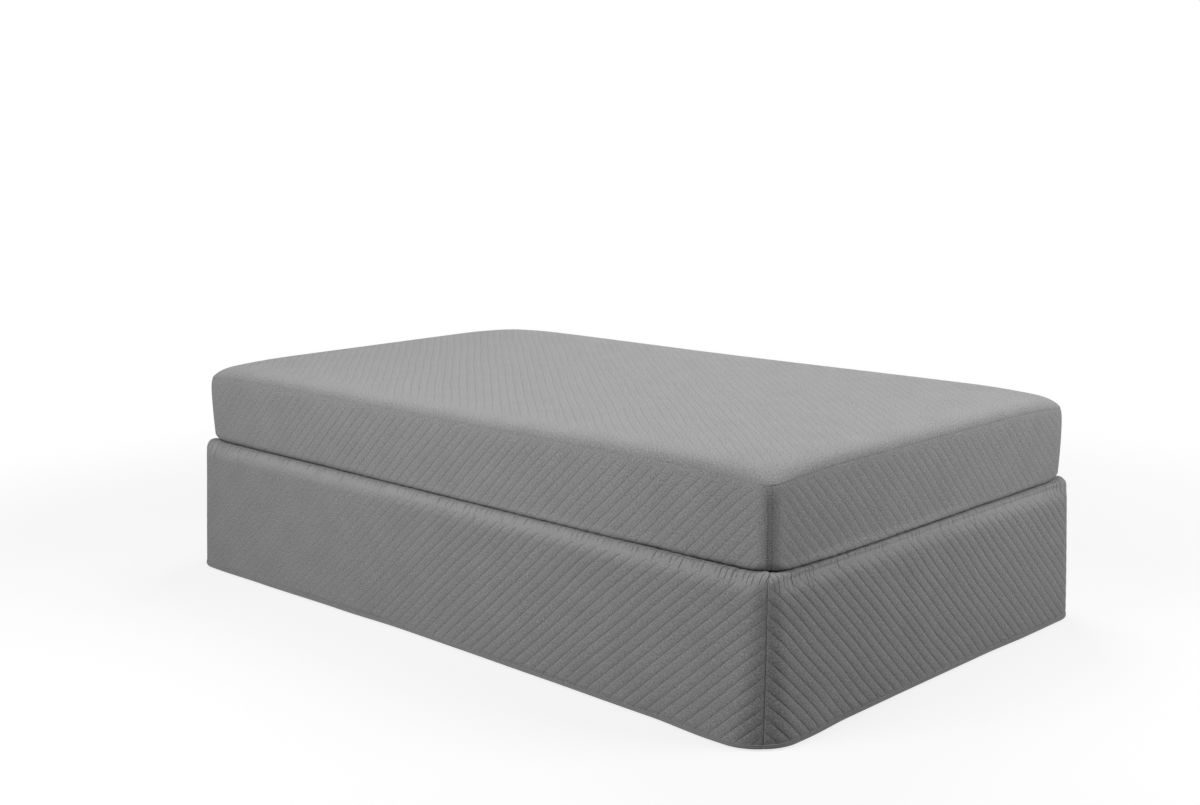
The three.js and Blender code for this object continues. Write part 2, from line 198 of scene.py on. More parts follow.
def band_profile(long):
    """From the perimeter seam down, round the tuck and in under the mattress."""
    square = TUCK_SQUARE_LONG if long else TUCK_SQUARE_SHORT
    rings = []
    for share in np.linspace(0, 1, 60):
        below = share * (SEAM_Z - TUCK_START) / BULGE_AT
        bulge = (BAND_BOW + SEAM_PULL * (1 - share) ** 3) * math.sin(math.pi * share)
        bulge += SEAM_BULGE * below * math.exp(1 - below)
        out = -SEAM_PULL * (1 - share) ** 3 + bulge
        droop = max(0, 1 - share * DROOP_FALL)
        rings.append((mix(SEAM_Z, TUCK_START, share), out, out,
                      mix(BAND_CORNER, tuck_radius(0), share) + SEAM_ROUND * math.exp(-8 * share), 0, droop))
    for share in np.linspace(0, 1, 40)[1:]:
        inward = 1 - math.cos(QUARTER_TURN * share) ** square
        rings.append((TUCK_START - TUCK_TALL * math.sin(QUARTER_TURN * share) ** square,
                      -TUCK_WIDE_X * inward, -TUCK_WIDE_Y * inward, tuck_radius(share),
                      math.sin(math.pi * share * 0.75), 0))
    last = rings[-1]
    for share in np.linspace(0, 1, 12)[1:]:
        rings.append((UNDERSIDE, mix(last[1], -BAND_HEM_IN, share), mix(last[2], -BAND_HEM_IN, share),
                      mix(last[3], BAND_HEM_CORNER, share), mix(last[4], 0, share), 0))
    return profile_of(rings, long)


def tuck_radius(share):
    return mix(BAND_CORNER, TUCK_CORNER, mix(0.15, 1, share))


def hanging_ring(z):
    fall = 1 - z / HANG_TOP
    share = fall ** FLARE_CURVE
    return (z, mix(SKIRT_PROUD_X, FLARE_X, share), mix(SKIRT_PROUD_Y, FLARE_Y, share),
            mix(SKIRT_CORNER, HEM_CORNER, fall ** 2), share, 0)


def skirt_profile(long):
    """From the turned-in edge on top of the base, over its edge and down to the hem."""
    rings = []
    for share in np.linspace(0, 1, 12)[:-1]:
        out = mix(-SKIRT_EDGE_IN, SKIRT_FLAT_OUT, share)
        rings.append((SKIRT_TOP, out, out, mix(SKIRT_EDGE_CORNER, SKIRT_TOP_CORNER, share), 0, 0))
    for share in np.linspace(0, 1, 50):
        reach = math.sin(QUARTER_TURN * share)
        rings.append((SKIRT_TOP - SKIRT_ROLL_TALL * (1 - math.cos(QUARTER_TURN * share)),
                      mix(SKIRT_FLAT_OUT, SKIRT_PROUD_X, reach), mix(SKIRT_FLAT_OUT, SKIRT_PROUD_Y, reach),
                      mix(SKIRT_TOP_CORNER, SKIRT_CORNER, reach), 0, 0))
    rings += [hanging_ring(z) for z in np.linspace(HANG_TOP, HEM_EDGE, 90)[1:]]
    return profile_of(rings, long)


for name, made in (("band", band_profile(True)), ("skirt", skirt_profile(True))):
    print(f"{name}: {made.down[-1] / MM:.0f} mm of cloth from edge to edge")

# %% [markdown]
# ## From flat cloth to the bed
# A point of a side panel is named by its share, which runs from -1 at one corner seam to 1 at the
# other, and by its length down the cloth. The share is measured along the ring, so the stitch
# pattern keeps its size everywhere, and the corner seam lies at the middle of the corner's arc.

# %% Place points of a panel on its side of the bed
def ring_at(profile, down):
    return [np.interp(down, profile.down, column) for column in profile[1:]]


def half_length(side, profile, down):
    """Half the ring's length along this side, from its middle to the corner seam."""
    _, out_x, out_y, radius, _, _ = ring_at(profile, down)
    half = HALF_Y + out_y if side.long else HALF_X + out_x
    return half - radius + radius * CORNER_MIDDLE


def droop_at(x, y):
    away = np.hypot(HALF_X - np.abs(x), HALF_Y - np.abs(y))
    return CORNER_DROOP * np.clip(1 - away / CORNER_DROOP_REACH, 0, 1) ** 2


def on_side(side, profile, wave_rows, share, down):
    z, out_x, out_y, radius, wave, droop = ring_at(profile, down)
    half_along = HALF_Y + out_y if side.long else HALF_X + out_x
    half_out = HALF_X + out_x if side.long else HALF_Y + out_y
    straight = half_along - radius
    distance = share * (straight + radius * CORNER_MIDDLE)
    turn = np.clip(np.abs(distance) - straight, 0, None) / radius
    away = np.sign(distance) * np.sin(turn)
    along = np.clip(distance, -straight, straight) + radius * away
    out = half_out - radius + radius * np.cos(turn)
    push = wave * read_wave(wave_rows, along / half_along) * (1 - turn / CORNER_MIDDLE)
    along, out = along + push * away, out + push * np.cos(turn)
    x = side.along[0] * along + side.out[0] * out
    y = side.along[1] * along + side.out[1] * out
    return np.stack([x, y, z - droop * droop_at(x, y)], -1)


NEAR = 1 * MM


def lengths_one(vectors):
    return vectors / np.linalg.norm(vectors, axis=1)[:, None]


def lifted(place, first, second, height):
    """Points of a surface moved by height along its normal, which comes from four near points."""
    across = place(first + NEAR, second) - place(first - NEAR, second)
    down = place(first, second + NEAR) - place(first, second - NEAR)
    return place(first, second) + lengths_one(np.cross(down, across)) * height[:, None]


# %% [markdown]
# ## Quilting
# The cloth is stitched in diamonds: two families of slanting lines, 19 to 22 mm apart. The cloth
# hangs from one family, which sinks into narrow valleys, deepest on the skirt, and the other barely
# shows. A mesh whose edges lie along the stitch lines can hold such valleys with few faces, so the
# grid is laid slantwise, with closer rows beside each line, and is cut to the panel's outline
# afterwards. The height is worked out at each point, so the relief is real geometry.

# %% Sizes of the quilting
# A diamond's width and height, each family's mesh rows, the valleys' depth, and how much of it each
# family has.
Quilt = namedtuple("Quilt", "wide tall rows depth strength")
DEEP_ROWS = (0, 0.05, 0.11, 0.4, 0.6, 0.89, 0.95)  # places of mesh rows between two stitch lines
FAINT_ROWS = (0, 0.12, 0.5, 0.88)
FAINTEST_ROWS = (0, 0.5)
FAINT = 0.22
LONG_BAND_QUILT = Quilt(31.5 * MM, 28.5 * MM, (DEEP_ROWS, FAINT_ROWS), 0.7 * MM, (1, FAINT))
SHORT_BAND_QUILT = Quilt(28 * MM, 28.5 * MM, (FAINT_ROWS, DEEP_ROWS), 0.66 * MM, (FAINT, 1))
LONG_SKIRT_QUILT = Quilt(33 * MM, 28.8 * MM, (DEEP_ROWS, FAINT_ROWS), 1.5 * MM, (1, FAINT))
SHORT_SKIRT_QUILT = Quilt(29.2 * MM, 29 * MM, (FAINT_ROWS, DEEP_ROWS), 1.75 * MM, (FAINT, 1))
TOP_QUILT = Quilt(25 * MM, 29 * MM, (FAINT_ROWS, FAINTEST_ROWS), 0.95 * MM, (1, 0.3))
VALLEY_WIDE = 0.9 * MM  # the valley is down to a third of its depth this far from the thread
PUFF = 0.4 * MM  # and the middle of a diamond stands this proud


def line_numbers(quilt, across, down):
    """Counts stitch lines of both families; a whole number is on a line."""
    return across / quilt.wide + down / quilt.tall, down / quilt.tall - across / quilt.wide


def line_spacing(quilt):
    """The distance from one stitch line to the next, square to them."""
    return 1 / math.hypot(1 / quilt.wide, 1 / quilt.tall)


def puffed(quilt, across, down):
    """Height of the quilted face over the flat cloth: sunk at a stitch line, proud between them."""
    spacing = line_spacing(quilt)
    valleys, puff = 1, 1
    for line, strength in zip(line_numbers(quilt, across, down), quilt.strength):
        off = np.abs(line - np.round(line))
        valleys = valleys * (1 - strength * np.exp(-off * spacing / VALLEY_WIDE))
        puff = puff * mix(1, np.sin(np.pi * off), strength)
    return -quilt.depth * (1 - valleys) + PUFF * puff


def wander(across, down):
    """The stitch lines wander by a millimetre or so, as the cloth is never quite even."""
    sideways = 1.3 * np.sin(across * 9 + 2 * np.sin(down * 17)) + 0.7 * np.sin(across * 23 + down * 31)
    lengthways = 1.1 * np.sin(across * 13 - down * 9 + 1) + 0.6 * np.sin(across * 31 + 2)
    return sideways * MM, lengthways * MM


# %% Lay a flat grid along the stitch lines
SPARE_LINES, SPARE_CLOTH = 2, 6 * MM  # what is laid past the outline, to be cut off


def quilt_grid(quilt, half_wide, long):
    """Flat points (across, down) and faces that cover from -half_wide to half_wide, and 0 to long."""
    reach = half_wide / quilt.wide
    first, last = math.floor(-reach) - SPARE_LINES, math.ceil(reach + long / quilt.tall) + SPARE_LINES
    ticks = [(np.arange(first, last)[:, None] + np.array(rows)).ravel() for rows in quilt.rows]
    a, b = np.meshgrid(*ticks, indexing="ij")
    across, down = (a - b) / 2 * quilt.wide, (a + b) / 2 * quilt.tall
    near = np.abs(across) <= half_wide + SPARE_CLOTH
    near &= (down >= -SPARE_CLOTH) & (down <= long + SPARE_CLOTH)
    keep = near[:-1, :-1] | near[1:, :-1] | near[:-1, 1:] | near[1:, 1:]
    index = np.arange(across.size).reshape(across.shape)
    faces = np.stack([index[:-1, :-1], index[1:, :-1], index[1:, 1:], index[:-1, 1:]], -1)[keep]
    used, faces = np.unique(faces, return_inverse=True)
    return across.ravel()[used], down.ravel()[used], faces.reshape(-1, 4)


# %% [markdown]
# ## Cutting and closing a sheet
# The flat grid is cut with straight lines by bisect, as with a knife, and a few more lines are
# scored beside the seams, where the cloth bends sharply. Then the cloth gets its thickness: a plain
# back face with few triangles, joined to the quilted face round the edge, so that the sheet is a
# closed solid. The points remember their place in the stitch pattern, and it becomes the UV map, in
# metres, that the materials read.

# %% Show a mesh, and give it its map
def show(name, mesh):
    made = bpy.data.objects.new(name, mesh)
    bpy.context.scene.collection.objects.link(made)
    return made


def map_cloth(mesh, places):
    """places are where the mesh's points lie on the flat cloth."""
    corners = np.zeros(len(mesh.loops), np.int32)
    mesh.loops.foreach_get("vertex_index", corners)
    mesh.uv_layers.new(name="cloth").data.foreach_set("uv", places[corners].ravel())



# %% Cut the flat cloth
CUT_SNAP = 0.02 * MM  # a point this near a cut moves onto it


def cut_cloth(across, down, faces, flat, outline, scores):
    """A mesh in the plane: outline lines (place, direction) clear what is outside, and scores don't.
    flat is where each point lies in the plane, and across and down its place in the pattern."""
    mesh = bpy.data.meshes.new("cloth")
    mesh.from_pydata(np.pad(flat, ((0, 0), (0, 1))).tolist(), [], faces.tolist())
    pattern = mesh.attributes.new("cloth", "FLOAT_VECTOR", "POINT")
    pattern.data.foreach_set("vector", np.stack([across, down, 0 * down], -1).ravel())
    bm = bmesh.new()
    bm.from_mesh(mesh)
    bpy.data.meshes.remove(mesh)
    for lines, clear in ((outline, True), (scores, False)):
        for place, direction in lines:
            everything = bm.verts[:] + bm.edges[:] + bm.faces[:]
            bmesh.ops.bisect_plane(bm, geom=everything, dist=CUT_SNAP, plane_co=(*place, 0),
                                   plane_no=(*direction, 0), clear_outer=clear)
    return bm


# %% Close the sheet with a plain back
def close_cloth(name, bm, front, back, coarse):
    """front and back turn plane points into points on the bed. coarse are the back's inner points."""
    bm.verts.ensure_lookup_table()
    bm.verts.index_update()
    layer = bm.verts.layers.float_vector["cloth"]
    pattern = np.array([v[layer][:2] for v in bm.verts])
    plane = np.array([v.co[:2] for v in bm.verts])
    rim = [(e.verts[0].index, e.verts[1].index) if e.link_loops[0].vert == e.verts[0]
           else (e.verts[1].index, e.verts[0].index) for e in bm.edges if e.is_boundary]
    rim_points = sorted({i for edge in rim for i in edge})
    number = {i: n for n, i in enumerate(rim_points)}
    flat = [Vector(plane[i]) for i in rim_points] + [Vector(p) for p in coarse]
    edges = [(number[a], number[b]) for a, b in rim]
    found, _, tris, origin, _, _ = delaunay_2d_cdt(flat, edges, [], 1, 1e-7)
    back_plane = np.array([tuple(p) for p in found])
    back_of = {source: n for n, sources in enumerate(origin) for source in sources}
    count = len(plane)
    # The normal from across to down points into the bed, so every face is turned round.
    faces = [[v.index for v in f.verts][::-1] for f in bm.faces]
    bm.free()
    front_faces = len(faces)
    for tri in tris:
        a, b, c = (back_plane[i] for i in tri)
        turned = (b[0] - a[0]) * (c[1] - a[1]) - (b[1] - a[1]) * (c[0] - a[0]) > 0
        faces.append([count + i for i in (tri if turned else reversed(tri))])
    for a, b in rim:
        faces.append([a, b, count + back_of[number[b]], count + back_of[number[a]]])
    points = np.concatenate([front(plane, pattern), back(back_plane)])
    mesh = bpy.data.meshes.new(name)
    mesh.from_pydata(points.tolist(), [], faces)
    mesh.shade_smooth()
    sharp = {tuple(sorted(e)) for e in rim}
    sharp |= {tuple(sorted((count + back_of[number[a]], count + back_of[number[b]]))) for a, b in rim}
    mesh.attributes.new("sharp_edge", "BOOLEAN", "EDGE").data.foreach_set(
        "value", [tuple(sorted(e.vertices)) in sharp for e in mesh.edges])
    map_cloth(mesh, np.concatenate([pattern, back_plane]))  # the pattern in front, the plane behind
    mesh.validate()
    triangles = sum(len(p.vertices) - 2 for p in mesh.polygons)
    print(f"{name}: {front_faces} quilted faces, {len(tris)} on the back, {triangles} triangles")
    return show(name, mesh)


# %% Make a side panel
BACK_COLUMNS = (8 * MM, 18 * MM, 30 * MM, 50 * MM, 80 * MM)  # from the corner seams, where it bends
BACK_MORE_COLUMNS, BACK_ROWS = 30, 36  # between them, and down the cloth


def side_panel(name, side, quilt, profile, wave_rows, relief, thickness, scores_along, scores_down,
               finer=None, sunk=lambda to_seam, down: 0 * to_seam):
    """finer is a strip of the cloth, from and to, where each face is split in four. sunk says how far
    the whole cloth lies in from its rings."""
    long = profile.down[-1]
    longest = half_length(side, profile, profile.down).max()
    plane_half = half_length(side, profile, long / 2)  # the plane's half width stands for share 1
    across, down, faces = quilt_grid(quilt, longest, long)
    off_across, off_down = wander(across, down)
    real_down = down + off_down
    share = (across + off_across) / half_length(side, profile, np.clip(real_down, 0, long))
    flat = np.stack([share * plane_half, real_down], -1)
    edge = plane_half - PIECE_GAP / 2
    outline = [((edge, 0), (1, 0)), ((-edge, 0), (-1, 0)), ((0, 0), (0, -1)), ((0, long), (0, 1))]
    scores = [((sign * (edge - d), 0), (sign, 0)) for d in scores_along for sign in (-1, 1)]
    scores += [((0, d), (0, 1)) for d in scores_down]
    bm = cut_cloth(across, down, faces, flat, outline, scores)
    if finer:
        chosen = [f for f in bm.faces if finer[0] < f.calc_center_median().y < finer[1]]
        edges = list({e for f in chosen for e in f.edges})
        bmesh.ops.subdivide_edges(bm, edges=edges, cuts=1, use_grid_fill=True)

    def place(first, second):
        return on_side(side, profile, wave_rows, first / plane_half, second)

    def seam_distance(plane):
        return (1 - np.abs(plane[:, 0]) / plane_half) * half_length(side, profile, plane[:, 1])

    def front(plane, pattern):
        to_seam = seam_distance(plane)
        height = relief(pattern[:, 0], pattern[:, 1], to_seam, plane[:, 1])
        return lifted(place, plane[:, 0], plane[:, 1], height - sunk(to_seam, plane[:, 1]))

    def back(plane):
        depth = np.array([-thickness(d) for d in plane[:, 1]])
        return lifted(place, plane[:, 0], plane[:, 1], depth - sunk(seam_distance(plane), plane[:, 1]))

    bend = edge - np.array(BACK_COLUMNS)
    columns = np.concatenate([bend, -bend, np.linspace(-bend[-1], bend[-1], BACK_MORE_COLUMNS)])
    rows = np.linspace(0, long, BACK_ROWS)[1:-1]
    coarse = [(x, y) for x in columns for y in rows]
    return close_cloth(name, bm, front, back, coarse)


# %% [markdown]
# ## The bands of the protector
# Each band starts at the perimeter seam, runs down the side of the mattress and turns under it.
# The perimeter seam and the corner seams pull the cloth in. Beside each corner seam run two rows of
# topstitching, which press the quilting flat. Along the lower edge, where elastic draws the cloth
# in, there are small upright puckers.

# %% Relief of a band
TOPSTITCH = 4.0 * MM  # from the corner seam to a row of topstitching
# The quilting comes into relief between these distances from a corner seam, and down the cloth from
# the perimeter seam, and it fades again near the tuck. The puckers start a little above that.
BAND_FROM_SEAM, BAND_FROM_TOP = (4 * MM, 50 * MM), (2 * MM, 22 * MM)
BAND_TO_TUCK, PUCKERS_FROM = (150 * MM, 178 * MM), (135 * MM, 170 * MM)
SEAM_SHARE, TUCK_SHARE = 0.15, 0.3  # of the relief, left at the perimeter seam and at the tuck
# How deep the thread pulls the cloth in, and how far that dip reaches from each kind of line.
SEAM_SINKS, SKIRT_SEAM_SINKS = 0.4 * MM, 1.7 * MM
TOPSTITCH_WIDE, CORNER_SEAM_WIDE, SEAM_WIDE = 0.8 * MM, 1.0 * MM, 1.2 * MM
PUCKER_TALL, PUCKER_EVERY = 0.5 * MM, 7 * MM
BAND_WAVE_TALL, BAND_WAVE_EVERY = 0.8 * MM, 90 * MM


def dip(distance, depth, wide):
    return -depth * np.exp(-np.abs(distance) / wide)


def uneven(across, scale, seed):
    """A smooth line of bumps along the cloth, from -1 to 1, the same on every run."""
    draw = np.random.default_rng(seed)
    bumps = draw.uniform(-1, 1, 801)
    place = across / scale + 400
    first = np.clip(np.floor(place).astype(int), 0, 799)
    share = np.clip(place - first, 0, 1)
    return mix(bumps[first], bumps[first + 1], share * share * (3 - 2 * share))


def smooth(low, high, value):
    share = np.clip((value - low) / (high - low), 0, 1)
    return share * share * (3 - 2 * share)


def band_relief(quilt, long, seam_depth, tight):
    def relief(across, down, to_seam, real_down):
        calm = smooth(*BAND_FROM_SEAM, to_seam) * mix(SEAM_SHARE, 1, smooth(*BAND_FROM_TOP, real_down))
        calm = calm * mix(1, TUCK_SHARE, smooth(*BAND_TO_TUCK, real_down))
        calm = calm * mix(1, tight.share, smooth(tight.loose, tight.full, across))
        height = puffed(quilt, across, down) * calm
        pulled = dip(to_seam, SEAM_SINKS, CORNER_SEAM_WIDE)
        pulled = pulled + dip(to_seam - TOPSTITCH, SEAM_SINKS, TOPSTITCH_WIDE)
        height += pulled * smooth(0, 7 * MM, real_down)
        height += dip(real_down, seam_depth, SEAM_WIDE) * smooth(0, 15 * MM, to_seam)
        pucker = smooth(*PUCKERS_FROM, real_down)
        height += PUCKER_TALL * pucker * uneven(across, PUCKER_EVERY, 3)
        swell = np.sin(np.pi * np.clip(real_down / long, 0, 1))
        height += BAND_WAVE_TALL * uneven(across, BAND_WAVE_EVERY, 5) * swell
        return height
    return relief


# %% Make the bands
# Towards one end the cloth is drawn tighter. Places along the side where that starts and is full,
# and the share of the relief that's left there.
Tight = namedtuple("Tight", "loose full share")
BAND_TIGHT = {"foot": Tight(-0.1, 0.5, 0.8), "left": Tight(-0.35 * HALF_Y, -0.95 * HALF_Y, 0.45)}
SKIRT_TIGHT = {"foot": Tight(-0.3, 0.5, 1.0), "left": Tight(0.35 * HALF_Y, -0.6 * HALF_Y, 0.3)}
SEAM_SCORES = [1.5 * MM, 4.0 * MM, 6 * MM, 10 * MM]
SEAM_DEPTH = {"foot": 0.45 * MM, "left": 0.0}  # the perimeter seam shows most at foot and head
bands = {}
for side, quilt, wave_rows in ((FOOT, SHORT_BAND_QUILT, SHORT_TUCK_WAVE),
                               (LEFT, LONG_BAND_QUILT, LONG_TUCK_WAVE)):
    profile = band_profile(side.long)
    bands[side.name] = side_panel(
        f"quilted_band_{side.name}", side, quilt, profile, wave_rows,
        band_relief(quilt, profile.down[-1], SEAM_DEPTH[side.name], BAND_TIGHT[side.name]),
        lambda d: CLOTH, SEAM_SCORES, [1.5 * MM, 4 * MM, 8 * MM])

# %% [markdown]
# ## The panels of the skirt
# A skirt panel lies on top of the base, rolls over its edge and hangs. Elastic in its turned-in
# edge gathers it, so short upright creases run out over the rolled edge, most of them near the
# corners. There the quilting is stretched smooth. At the hem the cloth is pressed thin to go into
# the binding.

# %% Relief of a skirt panel
GAP_AT = SKIRT_EDGE_IN - 12 * MM  # down the cloth: about where the mattress stops hiding it
ROLL_ENDS = GAP_AT + 46 * MM  # below here the cloth hangs
BELOW_ROLL = (ROLL_ENDS - 12 * MM, ROLL_ENDS + 8 * MM)  # where the quilting comes into full relief
# The creases, in millimetres: how far apart, and how far off that place. Each draws its depth, what
# a corner adds to it, its half width and its length, which a corner stretches, and how far it leans.
CREASE_EVERY, CREASE_OFF = 13 * MM, 5
CREASE_DEEP, CREASE_DEEPER, CREASE_WIDE = (0.2, 1.4), (1.0, 2.4), (2.2, 4.2)
CREASE_SHORTEST, CREASE_LONGEST, CREASE_LONGER, CREASE_LEAN = 26, 50, 20, 0.25
CREASE_CORNER = 0.2  # metres: how far along the side a corner deepens the creases
CREASE_FLOOR = -2.3 * MM  # the cloth can't sink further into the base
CORNER_RUCK, CORNER_RUCK_REACH = 6.0 * MM, 40 * MM
SKIRT_WAVE_TALL, SKIRT_WAVE_EVERY = 0.9 * MM, 110 * MM
# The cloth cuts the corner over the roll: place down the cloth, depth, and half width of that dent.
Shoulder = namedtuple("Shoulder", "down depth wide more reach")
SHOULDER = {"foot": Shoulder(114 * MM, 6.0 * MM, 21 * MM, 0.6, 300 * MM),
            "left": Shoulder(116 * MM, 4.0 * MM, 19 * MM, 1.0, 700 * MM)}


def creases(across, real_down, half, seed, ruck):
    """Upright creases that run out of the gap, in cloth that is raised by ruck beside it."""
    draw = np.random.default_rng(seed)
    height = np.zeros_like(across)
    for middle in np.arange(-half, half, CREASE_EVERY):
        middle = middle + draw.uniform(-CREASE_OFF, CREASE_OFF) * MM
        near_corner = math.exp(-(half - abs(middle)) / CREASE_CORNER)
        deep = (draw.uniform(*CREASE_DEEP) + draw.uniform(*CREASE_DEEPER) * near_corner) * MM
        wide = draw.uniform(*CREASE_WIDE) * MM
        longest = CREASE_LONGEST + CREASE_LONGER * near_corner
        ends = GAP_AT + draw.uniform(CREASE_SHORTEST, longest) * MM
        lean = draw.uniform(-CREASE_LEAN, CREASE_LEAN)
        off = (across - middle - lean * (real_down - GAP_AT)) / wide
        found = np.abs(off) < 4
        fade = 1 - smooth(GAP_AT + 12 * MM, ends, real_down[found])
        height[found] -= deep * np.exp(-off[found] ** 2) * fade
    raised = smooth(GAP_AT - 2 * MM, GAP_AT + 6 * MM, real_down)
    raised = raised * (1 - smooth(GAP_AT + 10 * MM, GAP_AT + 44 * MM, real_down))
    ruck = ruck + CORNER_RUCK * np.exp(-np.clip(half - np.abs(across), 0, None) / CORNER_RUCK_REACH)
    return np.clip(height + ruck * raised, CREASE_FLOOR, None)


def shoulder_dent(shoulder):
    def sunk(to_seam, real_down):
        dent = np.exp(-((real_down - shoulder.down) / shoulder.wide) ** 2)
        dent = dent * smooth(GAP_AT + 14 * MM, GAP_AT + 29 * MM, real_down)  # it can't sink into the base
        dent = dent * mix(0.15, 1, smooth(0, 70 * MM, to_seam))
        return shoulder.depth * dent * (1 + shoulder.more * np.exp(-to_seam / shoulder.reach))
    return sunk


def skirt_relief(quilt, profile, half, tight, ruck):
    long = profile.down[-1]
    pressed_from = long - (BINDING_TALL + PRESSED_ABOVE)

    def relief(across, down, to_seam, real_down):
        below_roll = smooth(*BELOW_ROLL, real_down)
        above_hem = 1 - smooth(pressed_from, long - BINDING_TALL, real_down)
        calm = smooth(0, 2 * MM, to_seam) * mix(0.4, 1, smooth(0, 40 * MM, to_seam))
        calm = calm * mix(0.06, 1, below_roll) * mix(0.15, 1, above_hem)
        calm = calm * mix(1, tight.share, smooth(tight.loose, tight.full, across))
        height = puffed(quilt, across, down) * calm
        height += dip(to_seam, SKIRT_SEAM_SINKS, CORNER_SEAM_WIDE)
        height += creases(across, real_down, half, 11, ruck)
        height += SKIRT_WAVE_TALL * uneven(across, SKIRT_WAVE_EVERY, 8) * below_roll * above_hem
        height -= PRESSED_IN * (1 - above_hem)
        return height
    return relief


def skirt_thickness(profile):
    long = profile.down[-1]

    def thickness(down):
        pressed = smooth(long - BINDING_TALL - PRESSED_ABOVE, long - BINDING_TALL, down)
        return mix(CLOTH, CLOTH - PRESSED_IN, pressed)
    return thickness


# %% Make the skirt panels
RUCK = {"foot": -0.9 * MM, "left": 0.9 * MM}  # how much the gathers lift the cloth beside the gap
skirts = {}
for side, quilt, wave_rows in ((FOOT, SHORT_SKIRT_QUILT, SHORT_HEM_WAVE),
                               (LEFT, LONG_SKIRT_QUILT, LONG_HEM_WAVE)):
    profile = skirt_profile(side.long)
    half = float(half_length(side, profile, GAP_AT))
    long = profile.down[-1]
    hem_scores = [long - BINDING_TALL - d for d in (0, 2 * MM, PRESSED_ABOVE)]
    skirts[side.name] = side_panel(
        f"quilted_skirt_{side.name}", side, quilt, profile, wave_rows,
        skirt_relief(quilt, profile, half, SKIRT_TIGHT[side.name], RUCK[side.name]),
        skirt_thickness(profile), SEAM_SCORES[:3], hem_scores,
        finer=(GAP_AT - 6 * MM, GAP_AT + 44 * MM), sunk=shoulder_dent(SHOULDER[side.name]))

# %% [markdown]
# ## The top panel
# The top panel is one rectangle with rounded corners. It lies flat on the mattress, rolls over its
# edge and ends at the perimeter seam. On the flat cloth each ring is again a rounded rectangle, so
# a point is placed by finding the ring that it lies on, and its place along that ring.

# %% Place points of the top panel
ROLL_STEPS = 120
roll_angles = np.linspace(QUARTER_TURN, 0, ROLL_STEPS)
roll_z = mix(SEAM_Z, BED_TOP, np.sin(roll_angles) ** TOP_ROLL_SQUARE)
roll_out = TOP_ROLL_WIDE * (np.clip(np.cos(roll_angles), 0, 1) ** TOP_ROLL_SQUARE - 1)
roll_out -= SEAM_PULL * np.exp((SEAM_Z - roll_z) / (4 * MM))
roll_long = np.concatenate([[0], np.cumsum(np.hypot(np.diff(roll_out), np.diff(roll_z)))])
roll_share = np.linspace(0, 1, ROLL_STEPS)
FLAT_CORNER = 38 * MM
TOP_WIDE = HALF_X - TOP_ROLL_WIDE + roll_long[-1]  # half sizes of the flat cloth
TOP_LONG = HALF_Y - TOP_ROLL_WIDE + roll_long[-1]


def outside_by(x, y, half_x, half_y, radius):
    """How far a point lies outside a rounded rectangle, less than zero inside it."""
    dx, dy = np.abs(x) - (half_x - radius), np.abs(y) - (half_y - radius)
    return np.hypot(np.clip(dx, 0, None), np.clip(dy, 0, None)) + np.minimum(np.maximum(dx, dy), 0) - radius


def on_top(across, down):
    low, high = np.zeros_like(across), np.full_like(across, roll_long[-1] * 1.2)
    for _ in range(28):  # halve the range that holds the point's ring
        middle = (low + high) / 2
        out = outside_by(across, down, HALF_X - TOP_ROLL_WIDE + middle, HALF_Y - TOP_ROLL_WIDE + middle,
                         FLAT_CORNER) > 0
        low, high = np.where(out, middle, low), np.where(out, high, middle)
    over = (low + high) / 2
    rolled = over > 1e-6
    share = np.interp(over, roll_long, roll_share)
    out = np.where(rolled, np.interp(over, roll_long, roll_out), -TOP_ROLL_WIDE)
    radius = mix(TOP_CORNER, BAND_CORNER + SEAM_ROUND, share)
    flat_x, flat_y = (half - TOP_ROLL_WIDE + over - FLAT_CORNER for half in (HALF_X, HALF_Y))
    bed_x, bed_y = (half + out - radius for half in (HALF_X, HALF_Y))
    turn = np.arctan2(np.clip(np.abs(down) - flat_y, 0, None), np.clip(np.abs(across) - flat_x, 0, None))
    corner = (np.abs(across) > flat_x) & (np.abs(down) > flat_y)
    x_side, y_side = (np.abs(across) > flat_x) & ~corner, (np.abs(down) > flat_y) & ~corner
    turn = np.where(corner, turn, np.where(y_side, QUARTER_TURN, 0))
    x = np.clip(np.abs(across), 0, flat_x) * bed_x / flat_x + radius * np.cos(turn) * (corner | x_side)
    y = np.clip(np.abs(down), 0, flat_y) * bed_y / flat_y + radius * np.sin(turn) * (corner | y_side)
    x, y = np.where(rolled, x, np.abs(across)), np.where(rolled, y, np.abs(down))
    x, y = x * np.sign(across), -y * np.sign(down)  # down the cloth runs towards the foot
    sag = TOP_SAG * (1 + np.cos(np.pi * np.clip(np.abs(y) / TOP_SAG_REACH, 0, 1))) / 2 * (1 - share)
    z = np.where(rolled, np.interp(over, roll_long, roll_z), BED_TOP)
    near_corner = np.exp(-(np.hypot(HALF_X - np.abs(x), HALF_Y - np.abs(y)) / CORNER_ROUND_REACH) ** 2)
    z -= CORNER_ROUND * near_corner * np.sin(np.pi * (z - SEAM_Z) / (BED_TOP - SEAM_Z))
    return np.stack([x, y, z - sag - droop_at(x, y)], -1)


print(f"top panel: {2 * TOP_WIDE:.3f} x {2 * TOP_LONG:.3f} m of cloth")

# %% [markdown]
# The top is cut with a ring of straight lines, close enough together at the corners to read as
# arcs. Its quilting is shallower than on the skirt, because the cloth lies stretched over the
# mattress, and it fades where the cloth rolls over the edge.

# %% Make the top panel
CORNER_CUTS = 8
PAST_ROLL, ROLL_SHARE = (35 * MM, 90 * MM), 0.1  # from the seam, and the relief left on the roll
TOP_WAVE_TALL = 0.5 * MM
TOP_BACK_STEPS = (8 * MM, 20 * MM, 32 * MM, 46 * MM, 60 * MM)  # from the edge, where the cloth rolls


